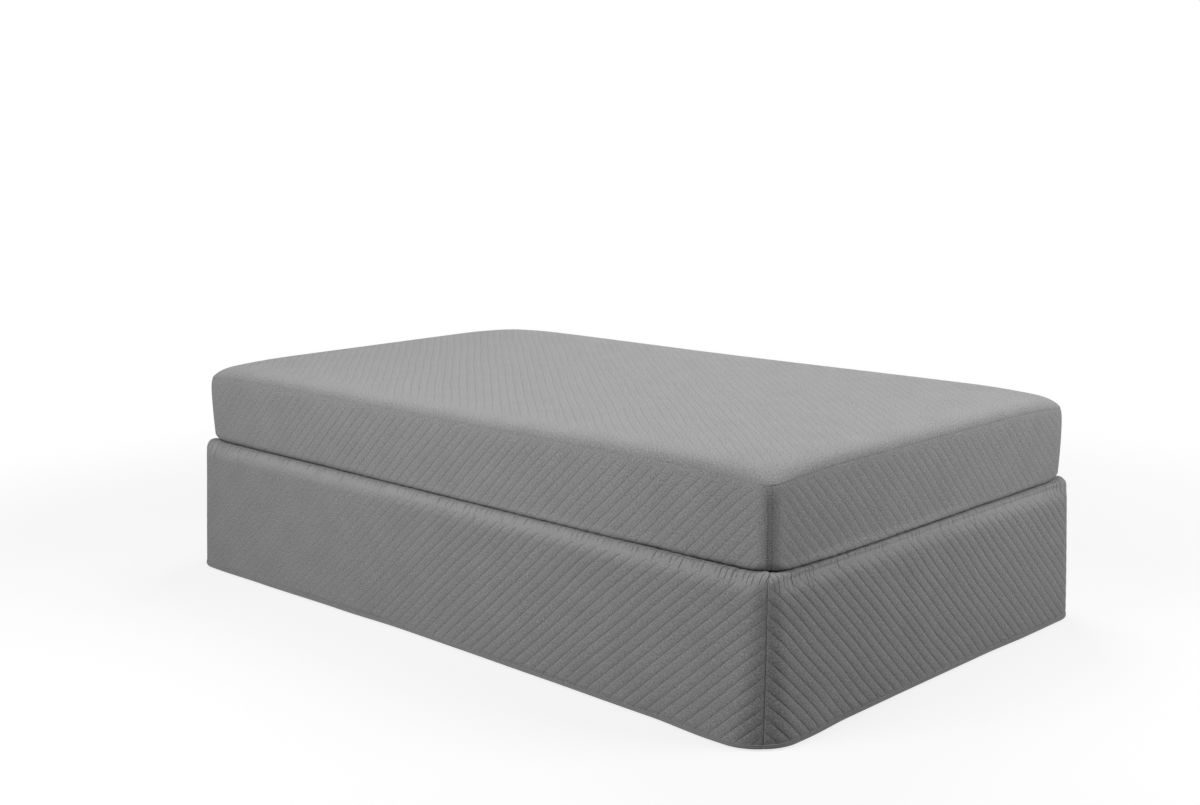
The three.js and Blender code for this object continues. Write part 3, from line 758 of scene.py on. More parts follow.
def rounded_outline(half_x, half_y, radius):
    """Straight cuts, each a place and a direction outwards, round a rounded rectangle."""
    lines = []
    for corner in range(4):
        sign_x, sign_y = (1, 1, -1, -1)[corner], (1, -1, -1, 1)[corner]
        for step in range(CORNER_CUTS + 1):
            turn = QUARTER_TURN * step / CORNER_CUTS
            direction = (sign_x * math.cos(turn), sign_y * math.sin(turn))
            middle = (sign_x * (half_x - radius), sign_y * (half_y - radius))
            place = (middle[0] + radius * direction[0], middle[1] + radius * direction[1])
            lines.append((place, direction))
    return lines


def top_relief(pattern, plane):
    to_seam = -outside_by(plane[:, 0], plane[:, 1], TOP_WIDE, TOP_LONG, FLAT_CORNER)
    calm = mix(ROLL_SHARE, 1, smooth(*PAST_ROLL, to_seam)) * smooth(0, 8 * MM, to_seam)
    height = puffed(TOP_QUILT, pattern[:, 0], pattern[:, 1]) * calm
    long_side = TOP_WIDE - np.abs(plane[:, 0]) < TOP_LONG - np.abs(plane[:, 1])
    height += dip(to_seam, np.where(long_side, SEAM_DEPTH["left"], SEAM_DEPTH["foot"]), SEAM_WIDE)
    swell = TOP_WAVE_TALL * uneven(pattern[:, 0], 120 * MM, 21) * uneven(pattern[:, 1], 150 * MM, 22)
    return height + swell * calm


across, down, faces = quilt_grid(TOP_QUILT, TOP_WIDE, 2 * TOP_LONG)
down = down - round(TOP_LONG / TOP_QUILT.tall) * TOP_QUILT.tall  # the pattern's origin: the bed's middle
off_across, off_down = wander(across, down)
flat = np.stack([across + off_across, down + off_down], -1)
top_scores = [((sign * (half - d), 0) if axis == 0 else (0, sign * (half - d)),
               (sign, 0) if axis == 0 else (0, sign))
              for axis, half in ((0, TOP_WIDE), (1, TOP_LONG)) for d in (2 * MM, 5 * MM) for sign in (-1, 1)]
bm = cut_cloth(across, down, faces, flat,
               rounded_outline(TOP_WIDE, TOP_LONG, FLAT_CORNER), top_scores)
edge_steps = TOP_WIDE - np.array(TOP_BACK_STEPS)
columns = np.concatenate([edge_steps, -edge_steps, np.linspace(-0.46, 0.46, 12)])
edge_rows = TOP_LONG - (TOP_WIDE - edge_steps)
rows = np.concatenate([edge_rows, -edge_rows, np.linspace(-0.85, 0.85, 20)])
coarse = np.array([(x, y) for x in columns for y in rows])
coarse = coarse[outside_by(coarse[:, 0], coarse[:, 1], TOP_WIDE, TOP_LONG, FLAT_CORNER) < -5 * MM]
top_panel = close_cloth(
    "quilted_top", bm,
    lambda plane, pattern: lifted(on_top, plane[:, 0], plane[:, 1], top_relief(pattern, plane)),
    lambda plane: lifted(on_top, plane[:, 0], plane[:, 1], np.full(len(plane), -CLOTH)),
    coarse.tolist())

# %% [markdown]
# ## Opposite sides
# The head is the foot turned half round, and the right side the left one, as in the frame. Each
# copy gets a mesh of its own, and the turn goes into the mesh, so its object stays at the origin.

# %% Copy to the opposite sides
HALF_TURN = Matrix.Rotation(math.pi, 4, "Z")
OPPOSITE = {"foot": "head", "left": "right"}


def turned_copy(piece, name):
    twin = piece.copy()
    twin.name = name
    twin.data = piece.data.copy()
    twin.data.name = name
    twin.data.transform(HALF_TURN)
    bpy.context.scene.collection.objects.link(twin)
    return twin


for pieces, kind in ((bands, "band"), (skirts, "skirt")):
    for near, far in OPPOSITE.items():
        pieces[far] = turned_copy(pieces[near], f"quilted_{kind}_{far}")
print("sides:", sorted(bands), sorted(skirts))

# %% [markdown]
# ## The binding
# A strip of plain woven cloth is folded over the hem and stitched down. Its section is a narrow U,
# swept along the hem. It is finer along its length than the CAD solid, its edge wanders a little,
# and the row of stitches pulls it in.

# %% Turn a closed surface outwards
def closed_mesh(name, points, faces):
    mesh = bpy.data.meshes.new(name)
    mesh.from_pydata(points.tolist(), [], faces)
    bm = bmesh.new()
    bm.from_mesh(mesh)
    bmesh.ops.recalc_face_normals(bm, faces=bm.faces[:])
    bmesh.ops.triangulate(bm, faces=[f for f in bm.faces if len(f.verts) > 6])
    bm.to_mesh(mesh)
    bm.free()
    mesh.shade_smooth()
    return mesh


# %% Make the bindings
BINDING_STEP = 6 * MM
EDGE_WANDER, WANDER_EVERY = 0.35 * MM, 40 * MM


def binding_strip(name, side, wave_rows):
    profile = skirt_profile(side.long)
    long = profile.down[-1]
    reach = float(half_length(side, profile, long - 1 * MM))
    count = int(2 * reach / BINDING_STEP)
    limit = 1 - PIECE_GAP / 2 / reach
    shares = np.linspace(-limit, limit, count)
    outer, inner = PIECE_GAP + BINDING_CLOTH - PRESSED_IN, PIECE_GAP - PRESSED_IN
    back_inner = -PRESSED_CLOTH - PRESSED_IN - PIECE_GAP
    back_outer = back_inner - BINDING_CLOTH
    low = HEM_LIFT
    # The section, once round: height above the floor, and place outside the cloth's face.
    section = [
        (BINDING_TOP, inner), (BINDING_TOP + 0.2 * MM, mix(inner, outer, 0.5)),
        (BINDING_TOP - 0.3 * MM, outer), (BINDING_TOP - 1.2 * MM, outer - 0.15 * MM),
        (BINDING_TOP - 2.0 * MM, outer - 0.35 * MM),
        (BINDING_TOP - 3.0 * MM, outer + 0.1 * MM), (mix(low, BINDING_TOP, 0.4), outer + 0.25 * MM),
        (low + 1.0 * MM, outer), (low + 0.2 * MM, outer - 0.8 * MM), (low, mix(outer, back_outer, 0.5)),
        (low + 0.2 * MM, back_outer + 0.8 * MM), (low + 1.0 * MM, back_outer), (BINDING_TOP, back_outer),
        (BINDING_TOP, back_inner), (low + BINDING_CLOTH, back_inner), (low + BINDING_CLOTH, inner),
    ]
    at_height = profile.z[::-1], profile.down[::-1]
    points, places = [], []
    along = shares * reach

    def place(first, second):
        point = on_side(side, profile, wave_rows, first, np.minimum(second, long))
        point[:, 2] -= np.clip(second - long, 0, None)
        return point

    for index, (height, off) in enumerate(section):
        z = height + 0 * along
        if index < 4 or index in (12, 13):  # the upper edge, in front and behind
            z = height + EDGE_WANDER * uneven(along, WANDER_EVERY, 31)
        down = np.interp(z, *at_height) + np.where(z < HEM_EDGE, HEM_EDGE - z, 0)
        across = place(shares + 1e-4, down) - place(shares - 1e-4, down)
        outward = np.stack([across[:, 1], -across[:, 0]], -1)
        outward *= np.sign(outward @ np.array(side.out))[:, None]
        point = place(shares, down)
        point[:, :2] += lengths_one(outward) * off
        points.append(point)
        places.append(np.stack([along, np.full_like(along, index * 1.5 * MM)], -1))
    sides = len(section)
    points, places = (np.stack(v, 1).reshape(count * sides, -1) for v in (points, places))
    faces = [[row * sides + column, row * sides + (column + 1) % sides,
              (row + 1) * sides + (column + 1) % sides, (row + 1) * sides + column]
             for row in range(count - 1) for column in range(sides)]
    faces += [list(range(sides))[::-1], [(count - 1) * sides + n for n in range(sides)]]
    mesh = closed_mesh(name, points, faces)
    map_cloth(mesh, places)
    print(f"{name}: {len(mesh.polygons)} faces, lowest {points[:, 2].min() / MM:.1f} mm")
    return show(name, mesh)


bindings = {}
for side, wave_rows in ((FOOT, SHORT_HEM_WAVE), (LEFT, LONG_HEM_WAVE)):
    bindings[side.name] = binding_strip(f"hem_binding_{side.name}", side, wave_rows)
    far = OPPOSITE[side.name]
    bindings[far] = turned_copy(bindings[side.name], f"hem_binding_{far}")

# %% [markdown]
# ## Thread
# Two rows of topstitching stand beside each corner seam of the protector, and one row holds the
# binding. Each stitch is a short bead of thread that sinks at both ends. One bead is worked out and
# repeated along a line of points on the cloth.

# %% Make the rows of stitches
Stitch = namedtuple("Stitch", "long every wide")
SEAM_STITCH, HEM_STITCH = Stitch(3.2 * MM, 5.6 * MM, 1.3 * MM), Stitch(2.6 * MM, 3.4 * MM, 0.7 * MM)
# A bead's rings: place along it, width as a share of the thread's, and how far it rises.
BEAD_RINGS, BEAD_SIDES = ((-0.5, 0.3, -0.25), (-0.3, 1, 0.1), (0.3, 1, 0.1), (0.5, 0.3, -0.25)), 6


def stitches(name, stitch, line, normals):
    """A mesh of beads along a line, each with the line's direction and the cloth's normal."""
    steps = np.linalg.norm(np.diff(line, axis=0), axis=1)
    far = np.concatenate([[0], np.cumsum(steps)])
    middles = np.arange(stitch.every / 2, far[-1], stitch.every)

    def read(values, at):
        return np.stack([np.interp(at, far, values[:, k]) for k in range(3)], -1)

    centre, normal = read(line, middles), read(normals, middles)
    run = lengths_one(read(line, middles + 0.2 * MM) - read(line, middles - 0.2 * MM))
    normal = lengths_one(normal)
    across = np.cross(normal, run)
    points, faces = [], []
    for place, wide, lift in BEAD_RINGS:
        for turn in range(BEAD_SIDES):
            angle = math.tau * turn / BEAD_SIDES
            points.append(centre + run * stitch.long * place
                          + across * stitch.wide / 2 * wide * math.cos(angle)
                          + normal * stitch.wide / 2 * (wide * math.sin(angle) + 2 * lift))
    points = np.stack(points, 1)
    sides, last = BEAD_SIDES, BEAD_SIDES * (len(BEAD_RINGS) - 1)
    for bead in range(len(middles)):
        start = bead * (last + sides)
        for ring in range(start, start + last, sides):
            for turn in range(sides):
                a, b = ring + turn, ring + (turn + 1) % sides
                faces.append([a, b, b + sides, a + sides])
        faces.append([start + n for n in reversed(range(sides))])
        faces.append([start + last + n for n in range(sides)])
    return show(name, closed_mesh(name, points.reshape(-1, 3), faces)), len(middles)


def line_on_side(side, profile, wave_rows, across_of, downs, height):
    """Points and normals along a line on a panel; across_of gives the distance to the last seam."""
    def place(first, second):
        return on_side(side, profile, wave_rows, first, second)

    share = 1 - across_of / half_length(side, profile, downs)
    base = place(share, downs)
    across = place(share + 1e-4, downs) - place(share - 1e-4, downs)
    below = place(share, downs + 0.5 * MM) - place(share, downs - 0.5 * MM)
    normal = lengths_one(np.cross(below, across))
    return base + normal * height, normal


topstitching, hem_stitching = {}, {}
for side, wave_rows in ((FOOT, SHORT_TUCK_WAVE), (LEFT, LONG_TUCK_WAVE)):
    profile = band_profile(side.long)
    downs = np.linspace(3 * MM, 190 * MM, 120)
    for end in ("first", "last"):
        # The first end is reached by measuring the distance right across the panel.
        full = 2 * half_length(side, profile, downs)
        off = np.full_like(downs, TOPSTITCH)
        line, normals = line_on_side(side, profile, wave_rows, off if end == "last" else full - off,
                                     downs, -0.5 * MM)
        name = f"topstitching_{side.name}_{end}"
        topstitching[name], count = stitches(name, SEAM_STITCH, line, normals)
        far = f"topstitching_{OPPOSITE[side.name]}_{end}"
        topstitching[far] = turned_copy(topstitching[name], far)
        print(f"{name}: {count} stitches")
for side, wave_rows in ((FOOT, SHORT_HEM_WAVE), (LEFT, LONG_HEM_WAVE)):
    profile = skirt_profile(side.long)
    at = float(np.interp(BINDING_TOP - 2 * MM, profile.z[::-1], profile.down[::-1]))
    reach = float(half_length(side, profile, at))
    distance = np.linspace(2 * MM, 2 * reach - 2 * MM, 400)
    line, normals = line_on_side(side, profile, wave_rows, distance, np.full_like(distance, at),
                                 PIECE_GAP + BINDING_CLOTH - PRESSED_IN - 0.3 * MM)
    name = f"hem_stitching_{side.name}"
    hem_stitching[side.name], count = stitches(name, HEM_STITCH, line, normals)
    far = OPPOSITE[side.name]
    hem_stitching[far] = turned_copy(hem_stitching[side.name], f"hem_stitching_{far}")
    print(f"{name}: {count} stitches")

# %% [markdown]
# ## Materials
# A colour is written as a maker would, as an sRGB hex value, and one function turns it to the
# linear numbers that Blender mixes. Another adds a node and fills its sockets. A socket that is
# given a node takes that node's first output, so that a chain of nodes reads as a formula.

# %% Helpers for materials
MODES = {"Math": "operation", "VectorMath": "operation", "MapRange": "interpolation_type",
         "Mix": "data_type", "TexNoise": "noise_dimensions", "TexWave": "wave_profile",
         "UVMap": "uv_map"}


def linear(hex_colour):
    channels = [int(hex_colour[i:i + 2], 16) / 255 for i in (1, 3, 5)]
    return [v / 12.92 if v <= 0.04045 else ((v + 0.055) / 1.055) ** 2.4 for v in channels] + [1]


def add_node(tree, kind, mode=None, *values, **named):
    """Adds a node in its mode. values fill its sockets in order, named ones by name, or by number as
    at_6. A value is a plain one, a socket to link, or a node whose first socket is linked."""
    node = tree.nodes.new("ShaderNode" + kind)
    if mode:
        setattr(node, MODES[kind], mode)
    filled = dict(enumerate(values))
    for key, value in named.items():
        filled[int(key[3:]) if key.startswith("at_") else key.replace("_", " ")] = value
    for key, value in filled.items():
        if isinstance(value, bpy.types.Node):
            value = value.outputs[0]
        if isinstance(value, bpy.types.NodeSocket):
            tree.links.new(value, node.inputs[key])
        else:
            node.inputs[key].default_value = value
    return node


def new_material(name, roughness, sheen=0.0):
    """Starts a cloth or thread. Gives a function that adds nodes to it, and one that ends it."""
    material = bpy.data.materials.new(name)
    material.use_nodes = True
    tree = material.node_tree
    shader = tree.nodes["Principled BSDF"]
    shader.inputs["Roughness"].default_value = roughness
    shader.inputs["IOR"].default_value = 1.5
    shader.inputs["Specular IOR Level"].default_value = 0.25
    shader.inputs["Sheen Weight"].default_value = sheen
    shader.inputs["Sheen Roughness"].default_value = 0.5

    def finish(colour, bump=None):
        tree.links.new(colour.outputs[2], shader.inputs["Base Color"])
        if bump:
            tree.links.new(bump.outputs[0], shader.inputs["Normal"])
        return material

    return partial(add_node, tree), finish


# %% [markdown]
# The quilted cloth is brushed polyester microfibre: matt, with a soft sheen at grazing angles and a
# faint linen look, because its threads vary in thickness. Its threads, half a millimetre apart, are
# too fine to show from a few metres, so the slubs are drawn 2 to 5 mm long. Along the stitch lines
# lies a slightly darker thread, in stitches of 3 mm, and its grey is deepened as painted shade for the
# valley it lies in. The skirt's cloth is painted lighter over its roll, as painted light, and darker
# in the folds beside the gap, as painted shade. The protector's greys are painted a little lighter
# than the skirt's, as painted light.

# %% Colours and sizes of the quilted cloth
# Both covers are one cloth, but the protector's greys are painted a little lighter than the skirt's: painted
# light for its brighter faces.
PROTECTOR_PAINTED_LIGHTER_GREYS, SKIRT_GREYS = ("#C0C0C0", "#777777"), ("#B9B9B9", "#717171")  # lighter, darker yarn
# The thread grey is the thread's own darker colour, deepened as painted shade for the valley it lies in.
THREAD_AND_GROOVE_SHADE_GREY, FOLD_PAINTED_SHADE_GREY = "#6A6A6A", "#5A5A5A"
THREAD_EDGE, THREAD_CORE, VALLEY_EDGE = 0.9, 0.2, 2.4  # millimetres from a stitch line's middle
STITCH_LONG = 3 * MM
SLUBS = (((450, 210, 1), 2.0), ((210, 450, 1), 7.0))  # how many to a metre each way, and a seed
SPECKLE, PATCH, PATCHES = 0.85, 0.15, 14.0  # shares of slubs and worn patches, patches to a metre
VALLEY_LIFT, SLUB_DEEP, FOLD_LIFT = 0.6, 1.4, 1.3  # millimetres of bump
FOLD_EVERY, FOLD_OUT, FOLD_MORE = 14 * MM, 70 * MM, 24 * MM  # the last near the corners only
# The fold grey, mixed in by this share, is painted shade in the creases beside the gap.
FOLD_PAINTED_SHADE = 0.7
Fade = namedtuple("Fade", "axis half low high least")
# Over the roll, where the cloth is stretched smooth, it is painted lighter: painted light for the strip
# below the gap that faces up to the lamps.
ROLL_PAINTED_LIGHT_GREY, ROLL_PAINTED_LIGHT = "#C8C8C8", 0.2
ROLL_PAINTED_LIGHT_FADES = (Fade(1, None, GAP_AT + 14 * MM, GAP_AT + 30 * MM, 0),
             Fade(1, None, GAP_AT + 68 * MM, GAP_AT + 44 * MM, 0))


# %% Where a pattern fades, and the fine folds beside the gap
def fade_factor(node, split, fade):
    """Rises from least to 1 between two places on an axis, or distances in from its edge at half."""
    distance = split.outputs[fade.axis]
    if fade.half:
        distance = node("Math", "SUBTRACT", fade.half, node("Math", "ABSOLUTE", distance))
    return node("MapRange", "SMOOTHSTEP", distance, fade.low, fade.high, fade.least, 1.0)


def fold_lines(node, split, half):
    """Thin upright folds that run out of the gap, each to its own length, longest near the corners."""
    across, down = split.outputs[0], split.outputs[1]

    def drawn(scale, seed, size):
        noise = node("TexNoise", "1D", W=node("Math", "ADD", across, seed), Scale=scale, Detail=0.0)
        return node("Math", "MULTIPLY", noise, size)

    count = node("Math", "ADD", node("Math", "MULTIPLY", across, 1 / FOLD_EVERY), drawn(30.0, 3.0, 1.3))
    fold = node("MapRange", "SMOOTHSTEP", node("Math", "PINGPONG", count, 0.5), 0.12, 0.01, 0.0, 1.0)
    near = fade_factor(node, split, Fade(0, half, 240 * MM, 20 * MM, 0))
    ends = node("Math", "ADD", drawn(110.0, 9.0, FOLD_OUT), node("Math", "MULTIPLY", near, FOLD_MORE))
    left = node("Math", "SUBTRACT", node("Math", "ADD", ends, GAP_AT + 2 * MM), down)
    shown = node("MapRange", "SMOOTHSTEP", left, 0.0, 22 * MM, 0.0, 1.0)
    out_of_gap = fade_factor(node, split, Fade(1, None, GAP_AT + 9 * MM, GAP_AT + 16 * MM, 0))
    return node("Math", "MULTIPLY", node("Math", "MULTIPLY", fold, shown), out_of_gap)


# %% Material of the quilted cloth
def sewn_lines(node, split, quilt, thread_and_shade_share):
    """How much thread, with the painted shade of its valley, shows at a point, and how near it lies to
    a stitch line, each from 0 to 1.
    """
    across = node("Math", "DIVIDE", split.outputs[0], quilt.wide)
    down = node("Math", "DIVIDE", split.outputs[1], quilt.tall)
    spacing = line_spacing(quilt)
    lines, valleys = [], []
    for kind, other, strength in zip(("ADD", "SUBTRACT"), ("SUBTRACT", "ADD"), quilt.strength):
        line = node("Math", kind, down, across)
        along = node("Math", other, down, across)
        off = node("Math", "MULTIPLY", node("Math", "PINGPONG", line, 0.5), spacing / MM)
        thread = node("MapRange", "SMOOTHSTEP", off, THREAD_EDGE, THREAD_CORE, 0.0, 1.0)
        stitch = node("Math", "PINGPONG", node("Math", "MULTIPLY", along, spacing / STITCH_LONG), 0.5)
        shown = node("MapRange", "SMOOTHSTEP", stitch, 0.05, 0.2, 0.35, 1.0)
        lines.append(node("Math", "MULTIPLY", node("Math", "MULTIPLY", thread, shown),
                          strength * thread_and_shade_share))
        valleys.append(node("MapRange", "SMOOTHSTEP", off, VALLEY_EDGE, 0.0, 0.0, strength))
    return node("Math", "MAXIMUM", *lines), node("Math", "MAXIMUM", *valleys)


def quilted_cloth(name, greys, quilt, fades, folds_half=None, thread_and_shade_share=1.0):
    """fades say where the stitch lines come into view, folds_half is half a gathered panel, which gets
    painted light over its roll and painted shade in its folds, and the last says how much of the
    thread, with its painted valley shade, shows."""
    node, finish = new_material(name, 0.88, sheen=0.12)
    places = node("UVMap", "cloth")
    split = node("SeparateXYZ", None, places)
    thread_and_groove_shade, sunk = sewn_lines(node, split, quilt, thread_and_shade_share)
    for fade in fades:
        factor = fade_factor(node, split, fade)
        thread_and_groove_shade, sunk = (node("Math", "MULTIPLY", value, factor) for value in (thread_and_groove_shade, sunk))
    slubs = [node("TexNoise", "4D", Vector=node("VectorMath", "MULTIPLY", places, to_metre), W=seed,
                  Scale=1.0, Detail=2.0, Roughness=0.6) for to_metre, seed in SLUBS]
    weave = node("Math", "MULTIPLY", node("Math", "ADD", *slubs), 0.5)
    patch = node("TexNoise", "2D", Vector=places, Scale=PATCHES, Detail=3.0, Roughness=0.5)
    speckle = node("MapRange", None, weave, 0.36, 0.64, 0.0, 1.0)
    shade = node("Math", "ADD", node("Math", "MULTIPLY", speckle, SPECKLE),
                 node("Math", "MULTIPLY", patch, PATCH))
    colour = node("Mix", "RGBA", shade, at_6=linear(greys[1]), at_7=linear(greys[0]))
    # Other greys are mixed in: painted light over the roll, the thread with painted shade in its valley, and
    # painted shade in the folds.
    tints = [(thread_and_groove_shade, THREAD_AND_GROOVE_SHADE_GREY)]
    if folds_half:
        painted_roll_light = node("Math", "MULTIPLY", *(fade_factor(node, split, fade) for fade in ROLL_PAINTED_LIGHT_FADES))
        folds = fold_lines(node, split, folds_half)
        tints = [(node("Math", "MULTIPLY", painted_roll_light, ROLL_PAINTED_LIGHT), ROLL_PAINTED_LIGHT_GREY), *tints,
                 (node("Math", "MULTIPLY", folds, FOLD_PAINTED_SHADE), FOLD_PAINTED_SHADE_GREY)]
    for share, grey in tints:
        colour = node("Mix", "RGBA", share, at_6=colour.outputs[2], at_7=linear(grey))
    # The valleys are in the mesh. The filling rounds off their floors, so the bump lifts them a little.
    height = node("Math", "SUBTRACT", node("Math", "MULTIPLY", sunk, VALLEY_LIFT),
                  node("Math", "MULTIPLY", weave, SLUB_DEEP))
    if folds_half:
        height = node("Math", "ADD", height, node("Math", "MULTIPLY", folds, FOLD_LIFT))
    return finish(colour, node("Bump", Strength=0.8, Distance=1 * MM, Height=height))


# %% Give each panel's cloth its own stitch lines
def tight_fade(tight):
    return Fade(0, None, tight.full, tight.loose, tight.share)


band_cloth, skirt_cloth = {}, {}
for side, kind, band_quilt, skirt_quilt in ((LEFT, "long", LONG_BAND_QUILT, LONG_SKIRT_QUILT),
                                            (FOOT, "short", SHORT_BAND_QUILT, SHORT_SKIRT_QUILT)):
    half = float(half_length(side, band_profile(side.long), 100 * MM))
    band_cloth[side.name] = quilted_cloth(
        f"quilted microfibre, {kind} bands", PROTECTOR_PAINTED_LIGHTER_GREYS, band_quilt,
        [tight_fade(BAND_TIGHT[side.name]), Fade(0, half, *BAND_FROM_SEAM, 0),
         Fade(1, None, *BAND_FROM_TOP, 0)])
    half = float(half_length(side, skirt_profile(side.long), 200 * MM))
    skirt_cloth[side.name] = quilted_cloth(
        f"quilted microfibre, {kind} skirt panels", SKIRT_GREYS, skirt_quilt,
        [tight_fade(SKIRT_TIGHT[side.name]), Fade(0, half, 0, 16 * MM, 0.5),
         Fade(1, None, *BELOW_ROLL, 0)], half)
top_cloth = quilted_cloth("quilted microfibre, top", PROTECTOR_PAINTED_LIGHTER_GREYS, TOP_QUILT, [
    Fade(0, TOP_WIDE, 30 * MM, 90 * MM, 0), Fade(1, TOP_LONG, 30 * MM, 90 * MM, 0)], thread_and_shade_share=0.55)
print("cloth:", PROTECTOR_PAINTED_LIGHTER_GREYS, "and", SKIRT_GREYS, "with thread", THREAD_AND_GROOVE_SHADE_GREY)

# %% [markdown]
# The binding is the same fibre in a plain weave cut on the slant, so its fine ribs run diagonally.
# The thread is spun polyester, with a little more shine. The mattress is covered in plain ticking,
# and the base in a fine woven cloth; both are hidden by the covers.

# %% Materials of the binding, the thread, the mattress and the base
SLUBS_TO_METRE, PLIES_TO_METRE = 420.0, 900.0


def ribbed_cloth(name, light, dark, rib, slant, roughness, map_name=None):
    """A woven cloth with ribs of that spacing, turned by slant, on its map or on its own place."""
    node, finish = new_material(name, roughness, sheen=0.08)
    places = node("UVMap", map_name).outputs[0] if map_name else node("TexCoord").outputs["Object"]
    turned = node("Mapping", Vector=places, Rotation=(0, 0, slant))
    ribs = node("TexWave", "SIN", Vector=turned, Scale=math.tau / (20 * rib), Distortion=1.5, Detail=2.0,
                Detail_Scale=3.0).outputs[1]
    slubs = node("TexNoise", Vector=places, Scale=SLUBS_TO_METRE, Detail=3.0)
    mixed = node("Math", "MULTIPLY", node("Math", "ADD", ribs, slubs), 0.5)
    colour = node("Mix", "RGBA", mixed, at_6=linear(dark), at_7=linear(light))
    return finish(colour, node("Bump", Strength=0.4, Distance=0.3 * MM, Height=mixed))


def spun_thread(name, light, dark):
    node, finish = new_material(name, 0.55)
    ply = node("TexNoise", Vector=node("TexCoord").outputs["Object"], Scale=PLIES_TO_METRE)
    return finish(node("Mix", "RGBA", ply, at_6=linear(dark), at_7=linear(light)))


binding_cloth = ribbed_cloth("plain woven binding", "#A2A2A2", "#8C8C8C", 1.2 * MM, CORNER_MIDDLE, 0.8,
                             "cloth")
ticking = ribbed_cloth("mattress ticking", "#ECEAE4", "#DAD7CF", 3 * MM, 0, 0.85)
base_cloth = ribbed_cloth("woven base cover", "#DEDBD3", "#CBC7BD", 2 * MM, CORNER_MIDDLE, 0.88)
thread = spun_thread("spun polyester thread", "#5E5E5E", "#464646")
print("materials:", [m.name for m in bpy.data.materials if m.use_nodes])

# %% [markdown]
# ## Fitting the pieces to the frame
# Every piece rides on the object's one body and stands for its CAD solid. Each sheet says the size
# that it was cut to.

# %% Give out materials, and tie the pieces to the frame
def finish_piece(piece, material, node=None):
    piece.data.materials.clear()
    piece.data.materials.append(material)
    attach(piece, "root")
    if node:
        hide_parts(node)


def cut_size(side, profile):
    widest = 2 * half_length(side, profile, profile.down).max()
    area = float(np.trapz(2 * half_length(side, profile, profile.down), profile.down))
    return (round(float(widest), 4), round(float(profile.down[-1]), 4)), area


for near, far in OPPOSITE.items():
    side = FOOT if near == "foot" else LEFT
    for name in (near, far):
        finish_piece(bands[name], band_cloth[near], f"protector_band_{name}")
        finish_piece(skirts[name], skirt_cloth[near], f"skirt_panel_{name}")
        finish_piece(bindings[name], binding_cloth, f"skirt_binding_{name}")
        finish_piece(hem_stitching[name], thread)
        rows = [piece for key, piece in topstitching.items() if f"_{name}_" in key]
        for row in rows:
            finish_piece(row, thread)
        flat_size, area = cut_size(side, band_profile(side.long))
        print(f"band {name}: cut {flat_size}, {area:.3f} m2")
        flat_size, area = cut_size(side, skirt_profile(side.long))
        print(f"skirt {name}: cut {flat_size}, {area:.3f} m2")
finish_piece(top_panel, top_cloth, "protector_top_panel")
for node_name, material in (("mattress", ticking), ("box_base", base_cloth)):
    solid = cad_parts[node_name]
    solid.data.materials.clear()
    solid.data.materials.append(material)
print(f"top: cut {2 * TOP_WIDE:.3f} x {2 * TOP_LONG:.3f} m")

# %% [markdown]
# ## Floor, light and background
# The floor is pale and takes the soft shadow. It passes into a white background with no edge: only
# rays from the camera, or mirrored ones, see it whiter than it is lit. A broad lamp hangs over the
# bed. A strong one stands off the left side, with a weak one below it, and another off the foot, so
# the side faces are lit from beyond the view. The corner that faces the camera is then the darkest
# part, and the stitch lines that slant away from the light show most. A weak lamp behind the far
# corner lifts the far faces.

# %% Floor
FLOOR_HALF = 14.0
WHITE_FROM, WHITE_AT = 1.3, 2.8  # metres from the middle: where the floor starts to turn white
FLOOR_GREY, FLOOR_LIFT = "#868686", 0.78
WHITE = (1, 1, 1, 1)
bpy.ops.object.select_all(action="DESELECT")
bpy.ops.mesh.primitive_grid_add(x_subdivisions=8, y_subdivisions=8, size=2 * FLOOR_HALF, location=(0, 0, 0))
floor = bpy.context.object
floor.name = floor.data.name = "floor"
floor_material = bpy.data.materials.new("pale studio floor")
floor_material.use_nodes = True
floor_material.node_tree.nodes.clear()
node = partial(add_node, floor_material.node_tree)
away = node("VectorMath", "LENGTH", node("TexCoord").outputs["Object"]).outputs["Value"]
far_off = node("MapRange", "SMOOTHSTEP", away, WHITE_FROM, WHITE_AT, 0.0, 1.0)
rays = node("LightPath")
seen = node("Math", "MAXIMUM", rays.outputs["Is Camera Ray"], rays.outputs["Is Glossy Ray"])
lit = node("BsdfDiffuse", Color=linear(FLOOR_GREY))
raised = node("AddShader", None, lit, node("Emission", Color=WHITE, Strength=FLOOR_LIFT))
near_seen = node("MixShader", None, seen, lit, raised)
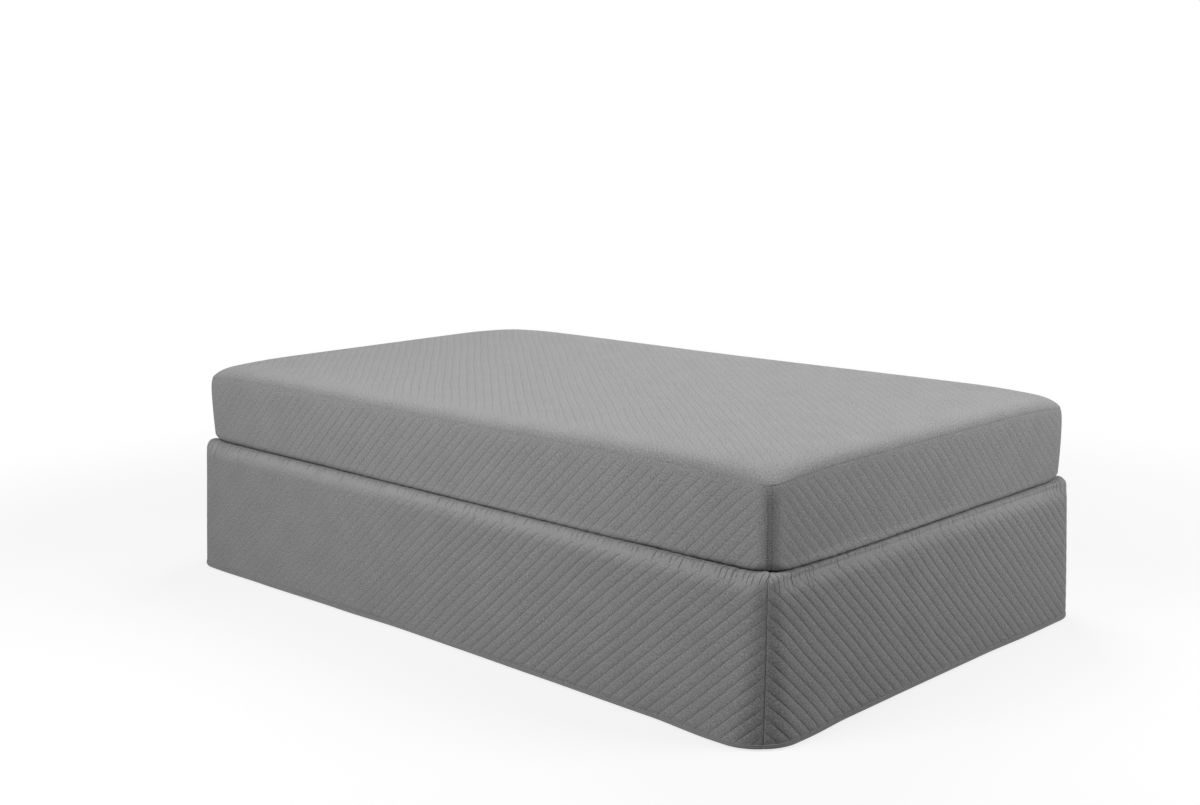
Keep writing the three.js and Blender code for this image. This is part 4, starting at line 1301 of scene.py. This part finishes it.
all_seen = node("MixShader", None, node("Math", "MULTIPLY", far_off, seen), near_seen,
                node("Emission", Color=WHITE, Strength=1.0))
node("OutputMaterial", None, all_seen)
floor.data.materials.append(floor_material)
floor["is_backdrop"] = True
print("floor:", 2 * FLOOR_HALF, "m square")

# %% Lamps and background
Lamp = namedtuple("Lamp", "name place aim size watts")
LAMPS = (
    Lamp("overhead lamp", (1.0, 0.7, 2.6), (0.2, 0.1, 0.5), 1.6, 28),
    Lamp("left lamp", (-3.0, 0.0, 2.6), (-0.4, 0.0, 0.3), 1.6, 62),
    Lamp("low left lamp", (-2.2, 0.6, 1.5), (-0.5, -0.2, 0.3), 1.2, 9),
    Lamp("far lamp", (2.8, 1.8, 1.4), (0.5, 0.0, 0.5), 1.2, 12),
    Lamp("foot lamp", (0.7, -2.45, 1.8), (0.1, -0.9, 0.3), 1.2, 34),
)
for lamp in LAMPS:
    lamp_data = bpy.data.lights.new(lamp.name, "AREA")
    lamp_data.size, lamp_data.energy = lamp.size, lamp.watts
    made = bpy.data.objects.new(lamp.name, lamp_data)
    made.location = lamp.place
    made.rotation_euler = (Vector(lamp.aim) - Vector(lamp.place)).to_track_quat("-Z", "Y").to_euler()
    made.visible_camera = False
    bpy.context.scene.collection.objects.link(made)
    print(f"{lamp.name}: {lamp.watts} W")

AMBIENT = 0.02
world = bpy.data.worlds.new("studio")
bpy.context.scene.world = world
world.use_nodes = True
world.node_tree.nodes.clear()
node = partial(add_node, world.node_tree)
rays = node("LightPath")
seen = node("Math", "MAXIMUM", rays.outputs["Is Camera Ray"], rays.outputs["Is Glossy Ray"])
sky = node("MixShader", None, seen, node("Background", Color=WHITE, Strength=AMBIENT),
           node("Background", Color=WHITE, Strength=1.0))
node("OutputWorld", None, sky)
bpy.context.scene.view_settings.view_transform = "Standard"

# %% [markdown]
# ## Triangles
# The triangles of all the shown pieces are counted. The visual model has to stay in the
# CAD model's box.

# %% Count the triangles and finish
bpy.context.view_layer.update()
total = sum(len(p.vertices) - 2 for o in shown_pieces() if o.type == "MESH" for p in o.data.polygons)
print("triangles in all:", total)
